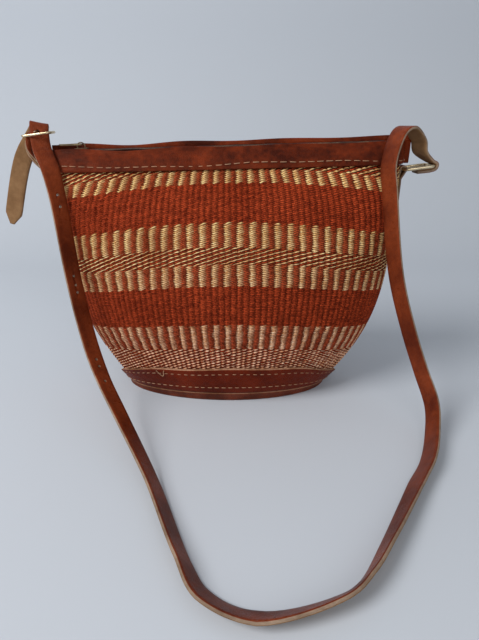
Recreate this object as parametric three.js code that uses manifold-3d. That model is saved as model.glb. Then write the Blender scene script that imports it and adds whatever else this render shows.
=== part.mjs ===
// Woven crossbody bag: a twined sisal basket with a zipped mouth between leather trims,
// a leather base and one long leather strap, buckled at the left end and looped on a ring at the right.
// Millimetres, +Z up. The origin is the middle of the base's resting face, -Y is the front.
import * as THREE from 'three';
import { mergeVertices } from 'three/addons/utils/BufferGeometryUtils.js';
import Module from 'manifold-3d';

const wasm = await Module();
wasm.setup();

// Driving dimensions of the woven basket
const RIM_HEIGHT = 222;
const MOUTH_WIDTH = 290;
const MOUTH_DEPTH = 18;
const MOUTH_TILT = THREE.MathUtils.degToRad(1.6);
const BELLY_HEIGHT = 90;
const BELLY_DEPTH = 122;
const SHOULDER_HEIGHT = 140;
const FLOOR_WIDTH = 184;
const FLOOR_DEPTH = 82;
const WEAVE_WALL = 4;
const SIDE_ROUNDNESS = 2.4;
const MOUTH_SQUARENESS = 3;
const RING_SEGMENTS = 64;
const WALL_LEVELS = 15;

// Leather and the gaps that keep sewn layers apart
const LEATHER = 2.2;
const SEAM_GAP = 0.5;
const SOLE_THICKNESS = 2.6;
const SOLE_EDGE_ROUND = 1.6;
const SOLE_LIP_FRONT = 9.5;
const SOLE_LIP_END = 4.5;
const CAP_TOP_FRONT = 41;
const CAP_TOP_END = 13;
const CAP_SWELL = 1.3;
const CAP_LEVELS = 4;
const TRIM_HEIGHT = 20;
const TRIM_LIP = 4.5;
const TRIM_LEVELS = 4;
const TRIM_SEGMENTS = 44;
const TRIM_END_GAP = 0.5;

// Zip along the mouth
const ZIP_END_GAP = 11.5;
const TAPE_OUTER = 7;
const TAPE_THICKNESS = 0.8;
const TOOTH_PITCH = 3.6;
const TOOTH_WIDTH = 1.9;
const TOOTH_THICKNESS = 2;
const CHAIN_HALF_GAP = 0.75;
const TOOTH_REACH = 1.7;
const CHAIN_BEAD = 1.1;
const ZIP_GAP = 0.35;
const STOP_LENGTH = 3;
const SLIDER_LENGTH = 11;
const SLIDER_FRONT_WIDTH = 9;
const SLIDER_BACK_WIDTH = 7.4;
const SLIDER_PLATE = 1.3;
const SLIDER_BRIDGE = 0.8;
const SLIDER_BRIDGE_LENGTH = 3;
const BAIL_WIRE = 0.9;
const BAIL_HEIGHT = 4.2;
const BAIL_SPAN = 6.4;
const PULL_LENGTH = 19;
const PULL_WIDTH = 5.6;
const PULL_TIP_WIDTH = 4.5;
const PULL_THICKNESS = 1.2;
const PULL_EYE_LENGTH = 6.4;
const PULL_EYE_WIDTH = 3;
const PULL_EDGE = 1.5;

// Left end: tab, buckle and prong
const BUCKLE_WIRE = 2;
const BUCKLE_OUT = 10.3;
const BUCKLE_BACK = 3;
const BUCKLE_RISE = 11;
const BUCKLE_LEAN = THREE.MathUtils.degToRad(7);
const BUCKLE_WIDTH = 26;
const BUCKLE_REACH = 13;
const BUCKLE_CORNER = 3;
const TAB_WIDTH = 12;
const TAB_THICKNESS = 3.6;
const TAB_LENGTH_ON_BAG = 26;
const TAB_DROP = 22;
const TAB_BULGE = 11.5;
const RUNNING_GAP = 0.3;
const WIRE_SIDES = 8;
const WIRE_STEPS = 20;
const WRAP_LEATHER = 1.9;
const PRONG_WIRE = 1.7;
const PRONG_EYE_WIDTH = 3;
const PRONG_SLOT = 4;

// Right end: tab and ring
const RING_WIRE = 2.6;
const RING_WIDTH = 23;
const RING_REACH = 25;
const RING_CORNER = 4;
const RING_LIFT = THREE.MathUtils.degToRad(7);
const RING_DROP = 17;
const TAB_LAYER = 1.9;
const TAB_LAYER_GAP = 0.4;

// Shoulder strap
const STRAP_WIDTH = 15;
const STRAP_THICKNESS = 2.6;
const STRAP_STEPS_PER_STOP = 2;
const STRAP_POINT = 10;
const STRAP_TIP = 0.25;
const HOLE_RADIUS = 1.1;
const HOLE_SIDES = 8;
const PRONG_HOLE_RADIUS = 1.7;
const HOLE_PLACES = [0.15, 0.157, 0.207, 0.214, 0.22, 0.274, 0.283, 0.293];

// Each stop on the strap's route holds its place and the direction across its width.
// It starts at the tail's point behind the buckle, goes over the buckle's bar, down the front,
// round a loop on the surface that the bag stands on, up the front again and over to the ring.
const STRAP_ROUTE = [
  [[-204, 20, 154], [-1, 0, 0.35]],
  [[-201, 19.6, 163], [-1, 0, 0.35]],
  [[-182, 15, 212], [-1, 0, 0.45]],
  [[-164, 10, 234.5], [-1, 0, 0.3]],
  [[-160.6, 7.8, 238.8], [-1, -0.1, 0.25]],
  [[-158.8, 3, 240.7], [-1, -0.15, 0.2]],
  [[-157, -3.8, 233.5], [-1, -0.05, -0.1]],
  [[-154.4, -10, 222], [-1, -0.3, -0.25]],
  [[-145.4, -22, 206], [-0.88, -0.47, -0.1]],
  [[-139.2, -31.2, 184], [-0.75, -0.66, 0.05]],
  [[-129.6, -46, 115], [-0.6, -0.8, 0.05]],
  [[-119.5, -56, 64], [-0.55, -0.82, 0.15]],
  [[-106, -76.5, 43], [-0.57, -0.7, 0.4]],
  [[-86, -106, 26], [-0.56, -0.64, 0.5]],
  [[-53, -161, 8.4], [-0.62, -0.4, 0.68]],
  [[-24, -226.5, 6.8], [-0.68, -0.34, 0.65]],
  [[-10.4, -249, 5.9], [-0.65, -0.55, 0.53]],
  [[18.5, -261.5, 5.3], [0, -0.9, 0.44]],
  [[66, -250.8, 7.4], [0.28, -0.59, 0.76]],
  [[81, -239.5, 7.8], [0.4, -0.36, 0.84]],
  [[100.7, -213, 7.2], [0.56, -0.38, 0.74]],
  [[136, -160.5, 6], [0.69, -0.5, 0.52]],
  [[151.5, -138.5, 7.4], [0.65, -0.48, 0.59]],
  [[166, -107, 10], [0.55, -0.5, 0.68]],
  [[171.5, -85.5, 22.5], [0.45, -0.55, 0.7]],
  [[164.5, -68, 46.5], [0.45, -0.7, 0.55]],
  [[154.3, -55, 77.6], [0.51, -0.77, 0.38]],
  [[141, -45, 123.6], [0.53, -0.8, 0.27]],
  [[130.5, -35, 191.8], [0.53, -0.82, 0.2]],
  [[129, -29.5, 211], [0.55, -0.82, 0.15]],
  [[138, -19, 235], [0.6, -0.8, 0]],
  [[147, -13, 238.2], [0.6, -0.8, 0]],
  [[158.8, -5.5, 228], [0.6, -0.8, 0]],
  [[161.8, -3.5, 219.5], [0.55, -0.84, 0]],
  [[171.7, 0, 212], [0.15, -1, 0]],
  [[176.6, 0, 209.5], [0, -1, 0]],
  [[176, 0, 205.9], [0, -1, 0]],
  [[172.2, 0, 204.2], [0, -1, 0]],
  [[160.7, 0, 202.8], [0, -1, 0]],
];

// Sizes that follow from the ones above
const BODY_FLOOR = SOLE_THICKNESS + RUNNING_GAP;
const CHAIN_OUTER = CHAIN_HALF_GAP + TOOTH_REACH + CHAIN_BEAD;
const TAPE_INNER = CHAIN_OUTER + ZIP_GAP;
const TAPE_HEIGHT = ZIP_GAP + TAPE_THICKNESS / 2;
const SLIDER_CLEAR = TOOTH_THICKNESS / 2 + ZIP_GAP;
const BAG_END = MOUTH_WIDTH / 2 + SEAM_GAP + LEATHER;
const ZIP_LENGTH = MOUTH_WIDTH - 2 * ZIP_END_GAP;
const RING_HEIGHT = RIM_HEIGHT - RING_DROP;
const WALL_END = MOUTH_WIDTH / 2 + RUNNING_GAP;
const RING_BAR_X = WALL_END + TAB_LAYER + RUNNING_GAP + RING_WIRE / 2;

const leather = (color) => new THREE.MeshStandardMaterial({ color, roughness: 0.55, metalness: 0 });
const metal = (color) => new THREE.MeshStandardMaterial({ color, roughness: 0.35, metalness: 1 });
const sisal = new THREE.MeshStandardMaterial({ color: 0x8a3a1c, roughness: 0.85, metalness: 0 });
const cloth = new THREE.MeshStandardMaterial({ color: 0x2c1712, roughness: 0.9, metalness: 0 });

// Triangles between neighbouring rings of points, with fans over the ends that stay open
function skin(rings, { closed = false } = {}) {
  const count = rings[0].length;
  const positions = rings.flat().flatMap((point) => [point.x, point.y, point.z]);
  const faces = [];
  const spans = closed ? rings.length : rings.length - 1;
  for (let i = 0; i < spans; i++) {
    const here = i * count;
    const next = ((i + 1) % rings.length) * count;
    for (let j = 0; j < count; j++) {
      const k = (j + 1) % count;
      faces.push(here + j, here + k, next + k, here + j, next + k, next + j);
    }
  }
  if (!closed) {
    fan(rings[0], 0, true);
    fan(rings[rings.length - 1], (rings.length - 1) * count, false);
  }
  function fan(ring, first, reversed) {
    const middle = ring.reduce((sum, point) => sum.add(point), new THREE.Vector3());
    middle.divideScalar(count);
    const centre = positions.length / 3;
    positions.push(middle.x, middle.y, middle.z);
    for (let j = 0; j < count; j++) {
      const k = (j + 1) % count;
      faces.push(centre, first + (reversed ? k : j), first + (reversed ? j : k));
    }
  }
  const geometry = new THREE.BufferGeometry();
  geometry.setAttribute('position', new THREE.Float32BufferAttribute(positions, 3));
  geometry.setIndex(faces);
  return facingOut(geometry);
}

// Turns a closed skin the right way round when its triangles run inwards
function facingOut(geometry) {
  const place = geometry.getAttribute('position');
  const index = geometry.getIndex().array;
  const corner = [new THREE.Vector3(), new THREE.Vector3(), new THREE.Vector3()];
  let volume = 0;
  for (let i = 0; i < index.length; i += 3) {
    corner.forEach((vector, k) => vector.fromBufferAttribute(place, index[i + k]));
    volume += corner[0].dot(corner[1].clone().cross(corner[2]));
  }
  if (volume < 0) {
    for (let i = 0; i < index.length; i += 3) {
      [index[i + 1], index[i + 2]] = [index[i + 2], index[i + 1]];
    }
  }
  return geometry;
}

function solid(geometry) {
  const bare = geometry.clone();
  bare.deleteAttribute('normal');
  bare.deleteAttribute('uv');
  const merged = mergeVertices(bare, 1e-4);
  return new wasm.Manifold(new wasm.Mesh({
    numProp: 3,
    vertProperties: new Float32Array(merged.getAttribute('position').array),
    triVerts: new Uint32Array(merged.getIndex().array),
  }));
}

function geometryOf(manifold) {
  const mesh = manifold.getMesh();
  const geometry = new THREE.BufferGeometry();
  geometry.setAttribute('position', new THREE.Float32BufferAttribute(mesh.vertProperties, 3));
  geometry.setIndex(Array.from(mesh.triVerts));
  return geometry;
}

const bag = new THREE.Group();
const zip = new THREE.Group();
zip.position.z = RIM_HEIGHT;
zip.rotation.y = -MOUTH_TILT;
bag.add(zip);

function add(group, name, geometry, material) {
  const mesh = new THREE.Mesh(geometry, material);
  mesh.name = name;
  group.add(mesh);
  return mesh;
}

// The basket's form: how wide and deep it is at a height, and how square its outline
function halfWidth(z) {
  const rise = Math.min(1, Math.max(0, (z - BODY_FLOOR) / (SHOULDER_HEIGHT - BODY_FLOOR)));
  const spread = (MOUTH_WIDTH - FLOOR_WIDTH) / 2;
  return FLOOR_WIDTH / 2 + spread * (1 - (1 - rise) ** SIDE_ROUNDNESS);
}

function aboveBelly(z) {
  return Math.min(1, Math.max(0, (z - BELLY_HEIGHT) / (RIM_HEIGHT - BELLY_HEIGHT)));
}

function halfDepth(z) {
  const below = Math.min(1, Math.max(0, (BELLY_HEIGHT - z) / (BELLY_HEIGHT - BODY_FLOOR)));
  const above = aboveBelly(z);
  const foot = (BELLY_DEPTH - FLOOR_DEPTH) / 2 * below ** 2;
  const pinch = (BELLY_DEPTH - MOUTH_DEPTH) / 2 * above ** 2;
  return BELLY_DEPTH / 2 - foot - pinch;
}

function outlinePoint(angle, z, offset) {
  const power = 2 / (2 + MOUTH_SQUARENESS * aboveBelly(z) ** 2);
  const cosine = Math.cos(angle);
  const sine = Math.sin(angle);
  const x = (halfWidth(z) + offset) * Math.sign(cosine) * Math.abs(cosine) ** power;
  const y = (halfDepth(z) + offset) * Math.sign(sine) * Math.abs(sine) ** power;
  const lift = x * Math.tan(MOUTH_TILT) * (z / RIM_HEIGHT) ** 2;
  return new THREE.Vector3(x, y, z + lift);
}

function outline(z, offset) {
  const height = typeof z === 'function' ? z : () => z;
  return Array.from({ length: RING_SEGMENTS }, (_, i) => {
    const angle = (i / RING_SEGMENTS) * Math.PI * 2;
    return outlinePoint(angle, height(angle), offset);
  });
}

// Woven body: one basket wall with a floor, open at the mouth
function wovenBody() {
  const rings = [];
  for (let i = 0; i <= WALL_LEVELS; i++) {
    rings.push(outline(BODY_FLOOR + (RIM_HEIGHT - BODY_FLOOR) * (i / WALL_LEVELS), 0));
  }
  for (let i = WALL_LEVELS; i >= 0; i--) {
    const foot = BODY_FLOOR + WEAVE_WALL;
    rings.push(outline(foot + (RIM_HEIGHT - foot) * (i / WALL_LEVELS), -WEAVE_WALL));
  }
  return skin(rings);
}
add(bag, 'woven_body', wovenBody(), sisal);

// Leather base: a shallow oval tray for a sole, and a cap wall that rises at front and back
const swell = (angle) => Math.abs(Math.sin(angle)) ** CAP_SWELL;
const lipTop = (angle) => SOLE_LIP_END + (SOLE_LIP_FRONT - SOLE_LIP_END) * swell(angle);
const capTop = (angle) => CAP_TOP_END + (CAP_TOP_FRONT - CAP_TOP_END) * swell(angle);
const capFoot = (angle) => lipTop(angle) + RUNNING_GAP;

function baseSole() {
  const outer = SEAM_GAP + LEATHER;
  return skin([
    outline(0, outer - SOLE_EDGE_ROUND),
    outline(SOLE_EDGE_ROUND, outer),
    outline(lipTop, outer),
    outline(lipTop, SEAM_GAP),
    outline(SOLE_THICKNESS, SEAM_GAP),
  ]);
}

function baseCap() {
  const rings = [];
  const level = (i) => (angle) => {
    const foot = capFoot(angle);
    return foot + (capTop(angle) - foot) * (i / CAP_LEVELS);
  };
  for (let i = 0; i <= CAP_LEVELS; i++) rings.push(outline(level(i), SEAM_GAP + LEATHER));
  for (let i = CAP_LEVELS; i >= 0; i--) rings.push(outline(level(i), SEAM_GAP));
  return skin(rings, { closed: true });
}
add(bag, 'base_sole', baseSole(), leather(0x6b2f1c));
add(bag, 'base_cap', baseCap(), leather(0x5f2414));

// Leather trims: a band along the front and the back of the mouth, standing above the rim
function mouthTrim(side) {
  const endAngle = TRIM_END_GAP / MOUTH_DEPTH;
  const low = RIM_HEIGHT - TRIM_HEIGHT + TRIM_LIP;
  const rings = [];
  for (let i = 0; i <= TRIM_SEGMENTS; i++) {
    const sweep = endAngle + (Math.PI - 2 * endAngle) * (i / TRIM_SEGMENTS);
    const section = [];
    for (let k = 0; k <= TRIM_LEVELS; k++) {
      section.push(outlinePoint(side * sweep, low + TRIM_HEIGHT * (k / TRIM_LEVELS), SEAM_GAP + LEATHER));
    }
    for (let k = TRIM_LEVELS; k >= 0; k--) {
      section.push(outlinePoint(side * sweep, low + TRIM_HEIGHT * (k / TRIM_LEVELS), SEAM_GAP));
    }
    rings.push(section);
  }
  return skin(rings);
}
add(bag, 'front_trim', mouthTrim(-1), leather(0x6a2a17));
add(bag, 'back_trim', mouthTrim(1), leather(0x6a2a17));

// Zip: two tapes on the rim, a row of teeth on each, stops, and the slider with its pull
function flatPiece(shape, thickness, middle) {
  const settings = { depth: thickness, bevelEnabled: false, curveSegments: 8 };
  const geometry = new THREE.ExtrudeGeometry(shape, settings);
  return geometry.translate(0, 0, middle - thickness / 2);
}

function rectangle(x0, y0, x1, y1) {
  return new THREE.Shape([
    new THREE.Vector2(x0, y0),
    new THREE.Vector2(x1, y0),
    new THREE.Vector2(x1, y1),
    new THREE.Vector2(x0, y1),
  ]);
}

function zipTape(side) {
  const half = ZIP_LENGTH / 2;
  const edges = [side * TAPE_INNER, side * TAPE_OUTER].sort((a, b) => a - b);
  return flatPiece(rectangle(-half, edges[0], half, edges[1]), TAPE_THICKNESS, TAPE_HEIGHT);
}

function zipTeeth(side) {
  const half = ZIP_LENGTH / 2 - STOP_LENGTH - ZIP_GAP;
  const root = CHAIN_HALF_GAP + TOOTH_REACH;
  const points = [[-half, CHAIN_OUTER], [-half, root]];
  const shift = side > 0 ? TOOTH_PITCH / 2 : 0;
  for (let x = -half + TOOTH_WIDTH + shift; x < half - TOOTH_WIDTH; x += TOOTH_PITCH) {
    points.push([x - TOOTH_WIDTH / 2, root], [x - TOOTH_WIDTH / 2, CHAIN_HALF_GAP]);
    points.push([x + TOOTH_WIDTH / 2, CHAIN_HALF_GAP], [x + TOOTH_WIDTH / 2, root]);
  }
  points.push([half, root], [half, CHAIN_OUTER]);
  const shape = new THREE.Shape(points.map(([x, y]) => new THREE.Vector2(x, side * y)));
  return flatPiece(shape, TOOTH_THICKNESS, TAPE_HEIGHT);
}

function zipStop(x0, y0, y1) {
  return flatPiece(rectangle(x0, y0, x0 + STOP_LENGTH, y1), TOOTH_THICKNESS, TAPE_HEIGHT);
}

const brass = 0xa8843c;
const darkMetal = 0x2b2723;
const stopLeft = -ZIP_LENGTH / 2;
const stopRight = ZIP_LENGTH / 2 - STOP_LENGTH;
add(zip, 'zip_tape_front', zipTape(-1), cloth);
add(zip, 'zip_tape_back', zipTape(1), cloth.clone());
add(zip, 'zip_teeth_front', zipTeeth(-1), metal(darkMetal));
add(zip, 'zip_teeth_back', zipTeeth(1), metal(darkMetal));
add(zip, 'zip_top_stop_front', zipStop(stopLeft, -CHAIN_OUTER, -CHAIN_HALF_GAP), metal(darkMetal));
add(zip, 'zip_top_stop_back', zipStop(stopLeft, CHAIN_HALF_GAP, CHAIN_OUTER), metal(darkMetal));
add(zip, 'zip_bottom_stop', zipStop(stopRight, -CHAIN_OUTER, CHAIN_OUTER), metal(darkMetal));

// The slider's two plates run over and under the teeth, joined by a bridge that parts them
const sliderX = stopLeft + STOP_LENGTH + ZIP_GAP + SLIDER_LENGTH / 2;
const plateMiddle = SLIDER_CLEAR + SLIDER_PLATE / 2;
const bailFoot = TAPE_HEIGHT + SLIDER_CLEAR + SLIDER_PLATE;

function sliderPlate() {
  const half = SLIDER_LENGTH / 2;
  const shape = new THREE.Shape();
  shape.moveTo(half, -SLIDER_BACK_WIDTH / 2);
  shape.lineTo(half, SLIDER_BACK_WIDTH / 2);
  shape.quadraticCurveTo(0, SLIDER_BACK_WIDTH / 2, -half / 2, SLIDER_FRONT_WIDTH / 2);
  shape.quadraticCurveTo(-half, SLIDER_FRONT_WIDTH / 2, -half, 0);
  shape.quadraticCurveTo(-half, -SLIDER_FRONT_WIDTH / 2, -half / 2, -SLIDER_FRONT_WIDTH / 2);
  shape.quadraticCurveTo(0, -SLIDER_BACK_WIDTH / 2, half, -SLIDER_BACK_WIDTH / 2);
  return shape;
}

function zipSlider() {
  const over = solid(flatPiece(sliderPlate(), SLIDER_PLATE, TAPE_HEIGHT + plateMiddle));
  const under = solid(flatPiece(sliderPlate(), SLIDER_PLATE, TAPE_HEIGHT - plateMiddle));
  const bridgeStart = -SLIDER_LENGTH / 2 + SLIDER_PLATE;
  const bridge = rectangle(
    bridgeStart, -SLIDER_BRIDGE / 2, bridgeStart + SLIDER_BRIDGE_LENGTH, SLIDER_BRIDGE / 2);
  const bridgeSolid = solid(flatPiece(bridge, 2 * plateMiddle, TAPE_HEIGHT));
  const bail = solid(archedWire(BAIL_SPAN, BAIL_HEIGHT, BAIL_WIRE).translate(0, 0, bailFoot));
  return geometryOf(over.add(under).add(bridgeSolid).add(bail)).translate(sliderX, 0, 0);
}

function archedWire(span, height, wire) {
  const sunk = -wire / 2;
  const path = new THREE.CatmullRomCurve3([
    new THREE.Vector3(-span / 2, 0, sunk),
    new THREE.Vector3(-span / 2, 0, height * 0.5),
    new THREE.Vector3(-span / 4, 0, height),
    new THREE.Vector3(span / 4, 0, height),
    new THREE.Vector3(span / 2, 0, height * 0.5),
    new THREE.Vector3(span / 2, 0, sunk),
  ]);
  const side = new THREE.Vector3(0, 1, 0);
  return skin(Array.from({ length: WIRE_STEPS + 1 }, (_, i) => wireRing(path, i / WIRE_STEPS, wire, side)));
}

function wireRing(path, place, wire, flatNormal) {
  const centre = path.getPointAt(place);
  const across = flatNormal.clone().cross(path.getTangentAt(place)).normalize();
  return Array.from({ length: WIRE_SIDES }, (_, k) => {
    const turn = ((k + 0.5) / WIRE_SIDES) * Math.PI * 2;
    return centre.clone()
      .addScaledVector(flatNormal, Math.cos(turn) * wire / 2)
      .addScaledVector(across, Math.sin(turn) * wire / 2);
  });
}
add(zip, 'zip_slider', zipSlider(), metal(darkMetal));

// The pull is a flat tab with an eye that hangs on the slider's bail and points to the bag's left end
const pullHeight = bailFoot + BAIL_HEIGHT - BAIL_WIRE / 2 - PULL_EDGE / 2;

function zipPull() {
  const tab = new THREE.Shape();
  const half = PULL_WIDTH / 2;
  const back = -PULL_EDGE;
  tab.moveTo(back, -half);
  tab.lineTo(PULL_LENGTH - half, -PULL_TIP_WIDTH / 2);
  tab.absarc(PULL_LENGTH - half, 0, PULL_TIP_WIDTH / 2, -Math.PI / 2, Math.PI / 2, false);
  tab.lineTo(back, half);
  tab.lineTo(back, -half);
  const eye = rectangle(0, -PULL_EYE_WIDTH / 2, PULL_EYE_LENGTH, PULL_EYE_WIDTH / 2);
  tab.holes.push(new THREE.Path(eye.getPoints().reverse()));
  return flatPiece(tab, PULL_THICKNESS, 0);
}
const pull = add(zip, 'zip_pull', zipPull(), metal(darkMetal));
pull.position.set(sliderX, 0, pullHeight);
pull.rotation.z = Math.PI;

// Closed wire frame: a rounded rectangle from its pivot bar at the origin out along +X, bars along Y
function wireFrame(width, reach, corner, wire) {
  const half = (width - wire) / 2;
  const outlinePath = new THREE.Path();
  outlinePath.moveTo(0, -half + corner);
  outlinePath.absarc(corner, -half + corner, corner, Math.PI, Math.PI * 1.5, false);
  outlinePath.absarc(reach - corner, -half + corner, corner, Math.PI * 1.5, Math.PI * 2, false);
  outlinePath.absarc(reach - corner, half - corner, corner, 0, Math.PI / 2, false);
  outlinePath.absarc(corner, half - corner, corner, Math.PI / 2, Math.PI, false);
  outlinePath.lineTo(0, -half + corner);
  const up = new THREE.Vector3(0, 0, 1);
  const points = outlinePath.getPoints(5);
  points.pop();
  const rings = points.map((point, i) => {
    const before = points[(i + points.length - 1) % points.length];
    const after = points[(i + 1) % points.length];
    const along = new THREE.Vector3(after.x - before.x, after.y - before.y, 0).normalize();
    const across = up.clone().cross(along);
    return Array.from({ length: WIRE_SIDES }, (_, k) => {
      const turn = ((k + 0.5) / WIRE_SIDES) * Math.PI * 2;
      return new THREE.Vector3(point.x, point.y, 0)
        .addScaledVector(up, Math.cos(turn) * wire / 2)
        .addScaledVector(across, Math.sin(turn) * wire / 2);
    });
  });
  return skin(rings, { closed: true });
}

// Round rod about the X axis
function rod(radius, length) {
  return new THREE.CylinderGeometry(radius, radius, length, 16).rotateZ(Math.PI / 2);
}

// Hollow round sleeve about the X axis
function sleeve(inner, outer, length) {
  const profile = [
    new THREE.Vector2(inner, -length / 2),
    new THREE.Vector2(outer, -length / 2),
    new THREE.Vector2(outer, length / 2),
    new THREE.Vector2(inner, length / 2),
    new THREE.Vector2(inner, -length / 2),
  ];
  return new THREE.LatheGeometry(profile, 16).rotateZ(Math.PI / 2);
}

// Left buckle: its pivot bar leans a little from X above the bag's left end, its front bar crosses the strap
const bar = new THREE.Vector3(-BAG_END - BUCKLE_OUT, BUCKLE_BACK, RIM_HEIGHT + BUCKLE_RISE);
const buckle = new THREE.Group();
buckle.position.copy(bar);
buckle.rotation.y = -BUCKLE_LEAN;
bag.add(buckle);
const buckleLoop = wireFrame(BUCKLE_WIDTH, BUCKLE_REACH, BUCKLE_CORNER, BUCKLE_WIRE);
const frame = add(buckle, 'buckle_frame', buckleLoop, metal(brass));
frame.rotation.z = -Math.PI / 2;

// Leans a form made along X, and sets it on the buckle's bar
function onBar(geometry) {
  return geometry.rotateY(-BUCKLE_LEAN).translate(bar.x, bar.y, bar.z);
}

function buckleProng() {
  const bore = BUCKLE_WIRE / 2 + RUNNING_GAP;
  const eye = solid(sleeve(bore, bore + PRONG_WIRE * 0.7, PRONG_EYE_WIDTH));
  const rest = BUCKLE_WIRE / 2 + PRONG_WIRE / 2 + RUNNING_GAP;
  const path = new THREE.CatmullRomCurve3([
    new THREE.Vector3(0, -bore - PRONG_WIRE * 0.3, 0),
    new THREE.Vector3(0, -BUCKLE_REACH * 0.5, rest * 0.45),
    new THREE.Vector3(0, -BUCKLE_REACH * 0.85, rest),
    new THREE.Vector3(0, -BUCKLE_REACH - PRONG_WIRE * 0.7, rest),
  ]);
  const side = new THREE.Vector3(1, 0, 0);
  const steps = 10;
  const rings = Array.from({ length: steps + 1 }, (_, i) =>
    wireRing(path, i / steps, PRONG_WIRE * (1 - 0.3 * (i / steps)), side));
  return geometryOf(eye.add(solid(skin(rings))));
}
add(buckle, 'buckle_prong', buckleProng(), metal(brass));

// Left tab: a doubled leather strip sewn on the bag's end, twisting up to wrap the buckle's bar
function leftTab() {
  const wrapInner = BUCKLE_WIRE / 2 + RUNNING_GAP;
  const wrapOuter = wrapInner + WRAP_LEATHER;
  const sewn = -WALL_END - TAB_THICKNESS / 2;
  const sewnTop = RIM_HEIGHT - TAB_DROP;
  const path = new THREE.CatmullRomCurve3([
    new THREE.Vector3(sewn, 0, sewnTop - TAB_LENGTH_ON_BAG),
    new THREE.Vector3(sewn, 0, sewnTop - TAB_LENGTH_ON_BAG / 2),
    new THREE.Vector3(sewn - TAB_THICKNESS * 0.3, 0, sewnTop),
    new THREE.Vector3(sewn - TAB_BULGE * 0.75, bar.y * 0.3, sewnTop + TAB_BULGE * 0.6),
    new THREE.Vector3(sewn - TAB_BULGE, bar.y * 0.8, sewnTop + TAB_BULGE * 1.7),
    new THREE.Vector3(bar.x, bar.y, bar.z - BUCKLE_REACH * 0.6),
    new THREE.Vector3(bar.x, bar.y, bar.z - wrapInner - WRAP_LEATHER / 2),
  ], false, 'centripetal');
  const steps = 22;
  const rings = Array.from({ length: steps + 1 }, (_, i) => {
    const place = i / steps;
    const twist = THREE.MathUtils.smoothstep(place, 0.4, 0.9) * Math.PI / 2;
    const width = new THREE.Vector3(Math.sin(twist), Math.cos(twist), 0);
    return stripSection(path.getPointAt(place), path.getTangentAt(place), width, TAB_WIDTH, TAB_THICKNESS);
  });
  const strip = solid(skin(rings));
  const wrap = solid(onBar(rod(wrapOuter, TAB_WIDTH)));
  const bore = solid(onBar(rod(wrapInner, TAB_WIDTH * 2)));
  const reach = wrapOuter + RUNNING_GAP;
  const slot = solid(onBar(new THREE.BoxGeometry(PRONG_SLOT, 2 * reach, 2 * reach)));
  return geometryOf(strip.add(wrap).subtract(bore).subtract(slot));
}

// Four corners of a flat strip's section, square to the way it runs
function stripSection(centre, along, widthHint, width, thickness) {
  const across = widthHint.clone().addScaledVector(along, -widthHint.dot(along)).normalize();
  const normal = across.clone().cross(along).normalize();
  return [[-1, -1], [1, -1], [1, 1], [-1, 1]].map(([u, v]) => centre.clone()
    .addScaledVector(across, u * width / 2)
    .addScaledVector(normal, v * thickness / 2));
}
add(bag, 'left_tab', leftTab(), leather(0x5a2a18));

// Right tab: a strip folded over the ring's bar, both ends sewn to the bag's end
function rightTab() {
  const round = RING_WIRE / 2 + RUNNING_GAP + TAB_LAYER / 2;
  const pinch = (TAB_LAYER + TAB_LAYER_GAP) / 2;
  const foot = RING_HEIGHT - TAB_LENGTH_ON_BAG;
  const neck = RING_HEIGHT - 2.2 * round;
  const points = [new THREE.Vector2(-pinch, foot), new THREE.Vector2(-pinch, neck)];
  const steps = 12;
  for (let i = 0; i <= steps; i++) {
    const turn = Math.PI * (1.15 - 1.3 * (i / steps));
    points.push(new THREE.Vector2(round * Math.cos(turn), RING_HEIGHT + round * Math.sin(turn)));
  }
  points.push(new THREE.Vector2(pinch, neck), new THREE.Vector2(pinch, foot));
  const width = new THREE.Vector3(0, 1, 0);
  const rings = points.map((point, i) => {
    const before = points[Math.max(0, i - 1)];
    const after = points[Math.min(points.length - 1, i + 1)];
    const along = new THREE.Vector3(after.x - before.x, 0, after.y - before.y).normalize();
    return stripSection(new THREE.Vector3(point.x, 0, point.y), along, width, TAB_WIDTH, TAB_LAYER);
  });
  return skin(rings).translate(RING_BAR_X, 0, 0);
}
add(bag, 'right_tab', rightTab(), leather(0x5a2a18));

const ringLoop = wireFrame(RING_WIDTH, RING_REACH, RING_CORNER, RING_WIRE);
const ring = add(bag, 'strap_ring', ringLoop, metal(brass));
ring.position.set(RING_BAR_X, 0, RING_HEIGHT);
ring.rotation.y = -RING_LIFT;

// Shoulder strap: one flat leather strip with a pointed tail and rows of adjusting holes
const strapPath = new THREE.CatmullRomCurve3(
  STRAP_ROUTE.map(([place]) => new THREE.Vector3(...place)), false, 'centripetal');
strapPath.arcLengthDivisions = 1200;

// Place, direction and width at a share of the route's stops, from 0 at the tail to 1 at the ring
function strapAt(share) {
  const stop = share * (STRAP_ROUTE.length - 1);
  const before = Math.min(STRAP_ROUTE.length - 2, Math.floor(stop));
  const width = new THREE.Vector3(...STRAP_ROUTE[before][1]).normalize();
  width.lerp(new THREE.Vector3(...STRAP_ROUTE[before + 1][1]).normalize(), stop - before);
  return { centre: strapPath.getPoint(share), along: strapPath.getTangent(share), width };
}

function shoulderStrap() {
  const steps = (STRAP_ROUTE.length - 1) * STRAP_STEPS_PER_STOP;
  const tail = new THREE.Vector3(...STRAP_ROUTE[0][0]);
  const rings = Array.from({ length: steps + 1 }, (_, i) => {
    const { centre, along, width } = strapAt(i / steps);
    const taper = Math.min(1, STRAP_TIP + (1 - STRAP_TIP) * centre.distanceTo(tail) / STRAP_POINT);
    return stripSection(centre, along, width, STRAP_WIDTH * taper, STRAP_THICKNESS);
  });
  let strip = solid(skin(rings));
  for (const place of HOLE_PLACES) strip = strip.subtract(strapHole(place));
  return geometryOf(strip.subtract(prongHole()));
}

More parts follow.
